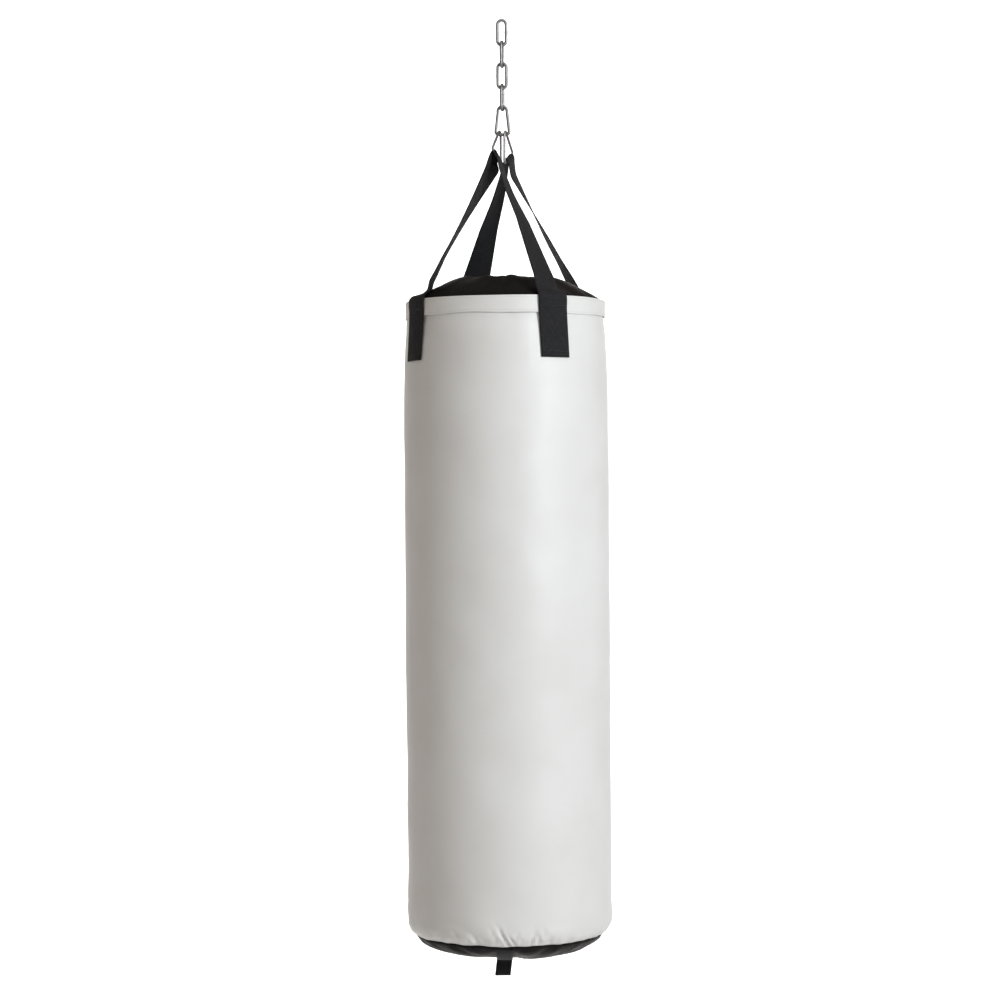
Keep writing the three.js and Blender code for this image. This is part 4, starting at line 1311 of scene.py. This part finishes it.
def build_padding():
    inner = SHELL_PROFILE[-1][1] - WALL_THICKNESS - LINER_THICKNESS
    top, low = RIM_Z - 24, SEAM_Z + 25
    slope = [(r - 3, RIM_Z + h - 8) for r, h in LID_PROFILE[:6]]
    under = []
    for r in BOTTOM_RADIUS * np.sin(np.linspace(0.01, math.pi / 2, 16)):
        depth = float(bulge(r))
        under.append((min(r, 144), SEAM_Z - depth + 3 + 6 * math.exp(-((depth / 10) ** 2))))
    top_pad = [(0.5, top), (151, top), *slope[::-1], (0.5, LID_TOP - 8)]
    turned_pad("top_pad", top_pad, "foam", FOAM)
    turned_pad("bottom_pad", [*under, (144, low), (0.5, low)], "foam", FOAM)
    top, low = top - PAD_GAP, low + PAD_GAP
    core = inner - PAD_GAP
    filling = [(0.5, low), (core, low), (core, top), (0.5, top)]
    turned_pad("filling", filling, "stuffing", STUFFING)
    outer = inner + LINER_THICKNESS
    liner = [(inner, low), (outer, low), (outer, top), (inner, top), (inner, low)]
    turned_pad("foam_liner", liner, "foam", FOAM, True)


def turned_pad(node, outline, slot, material, ring=False):
    """A pad turned from an outline of radius and height, with shallow dents"""
    columns = 72
    line = resampled(np.array(outline, float), 9)
    if ring:
        line = line[:-1]
    vertices = []
    for radius, z in line:
        for angle in TAU * np.arange(columns) / columns:
            dent = 0.5 + 0.5 * periodic(angle, z, 40, 21)
            r = max(0.5, radius - (0 if ring and radius < 145 else 1.2 * dent))
            vertices.append(on_bag(r, angle, z))
    faces = grid_faces(len(line), columns, ring, True)
    if not ring:
        faces += end_caps(columns, len(vertices))
    name = f"{node.removeprefix('foam_')}_lumpy"
    pad = piece(name, vertices, faces, material, "bag", slot, [node])


# ---- stage


def build_stage():
    """A pale floor that turns up into a backdrop, which glows with a painted light: it emits most in the
    middle behind the bag and fades towards its sides and its front
    """
    floor_z, wall_y, turn = -2.2, 4.6, 1.2
    profile = [(-6.0, floor_z), (wall_y - turn, floor_z)]
    for k in range(1, 13):
        angle = math.pi / 2 * k / 12
        y = wall_y - turn + turn * math.sin(angle)
        profile.append((y, floor_z + turn - turn * math.cos(angle)))
    profile.append((wall_y, 1.1))
    vertices = [(x, y, z) for y, z in profile for x in (-6, 6)]
    faces = [[2 * i, 2 * i + 1, 2 * i + 3, 2 * i + 2] for i in range(len(profile) - 1)]
    mesh = bpy.data.meshes.new("studio_floor")
    mesh.from_pydata(vertices, [], faces)
    smooth(mesh)
    floor = linked("studio_floor", mesh)
    n = Nodes("studio_paper")
    # painted glow: the emission strength is masked to a strip behind the bag, fading out towards the sides
    # and the front
    place = n.add("ShaderNodeSeparateXYZ", {"Vector": n.place()})
    aside = n.math("MULTIPLY", n.math("ABSOLUTE", place.outputs[0]), 0.25)
    behind = n.math("MULTIPLY", place.outputs[1], 0.25)
    near, far = n.ramp(aside, 1.0, 0.03, 0.39, 0.48), n.ramp(behind, 0.06, 1.0, 0.3, 0.75)
    lit = n.math("MULTIPLY", near, far)
    n.set(
        Base_Color=n.ramp(n.noise(3, 3), (0.86, 0.86, 0.86), (0.9, 0.9, 0.9)),
        Roughness=0.9,
        Emission_Color=(1, 1, 1, 1),
        Emission_Strength=n.math("MULTIPLY", lit, 0.55),
    )
    mesh.materials.append(n.material)


def area_light(name, place, target, size, energy, colour=(1, 1, 1)):
    light = bpy.data.lights.new(name, "AREA")
    light.shape = "RECTANGLE"
    light.size, light.size_y = size
    light.energy = energy
    light.color = colour
    thing = linked(name, light)
    thing.location = place
    thing.rotation_euler = (Vector(target) - Vector(place)).to_track_quat("-Z", "Y").to_euler()


def build_lights():
    """Four lights, and a world that fills with a dim warm light but shows a pale surround"""
    area_light("key", (2.56, -2.79, 0.45), (0, 0, -0.85), (1.1, 2.0), 104, (0.9, 0.96, 1.0))
    area_light("glow", (-1.6, -4.2, 0.0), (0, 0, -0.9), (1.8, 2.2), 5, (1.0, 0.95, 0.88))
    area_light("top", (0.4, -0.8, 2.2), (0, 0, -0.5), (1.4, 1.4), 9)
    area_light("backdrop", (0, 1.9, 1.3), (0, 4.6, -0.9), (2.6, 0.8), 110)
    world = bpy.data.worlds.new("studio_air")
    world.use_nodes = True
    tree = world.node_tree
    fill = tree.nodes["Background"]
    fill.inputs["Color"].default_value = (1, 0.9, 0.8, 1)
    fill.inputs["Strength"].default_value = 0.3
    wall = tree.nodes.new("ShaderNodeBackground")
    wall.inputs["Color"].default_value = (0.9, 0.9, 0.9, 1)
    seen = tree.nodes.new("ShaderNodeMixShader")
    tree.links.new(tree.nodes.new("ShaderNodeLightPath").outputs["Is Camera Ray"], seen.inputs[0])
    tree.links.new(fill.outputs[0], seen.inputs[1])
    tree.links.new(wall.outputs[0], seen.inputs[2])
    tree.links.new(seen.outputs[0], tree.nodes["World Output"].inputs["Surface"])
    bpy.context.scene.world = world
    bpy.context.scene.view_settings.view_transform = "Standard"


CAMERA_PLACE = (0, -5.17, -0.857)
CAMERA_ROLL = math.radians(-0.448)


def build_camera():
    camera = bpy.data.cameras.new("camera")
    camera.sensor_width = 36
    camera.lens = 115.8
    camera.shift_x = -0.0058
    camera.shift_y = 0.0551
    camera.clip_end = 50
    thing = linked("camera", camera)
    roll = Matrix.Rotation(CAMERA_ROLL, 4, "Z")
    level = Matrix.Rotation(math.pi / 2, 4, "X")
    thing.matrix_world = Matrix.Translation(CAMERA_PLACE) @ level @ roll
    bpy.context.scene.camera = thing


build_camera()
build_lights()
build_stage()
build_chain()
build_hook()
build_gate()
build_spring()
build_rings()
for strap_side in ("front", "rear"):
    build_strap(strap_side)
seam_stitches(*build_skin())
build_hem()
build_zip()
build_bottom_webbing()
build_padding()

bpy.context.view_layer.update()
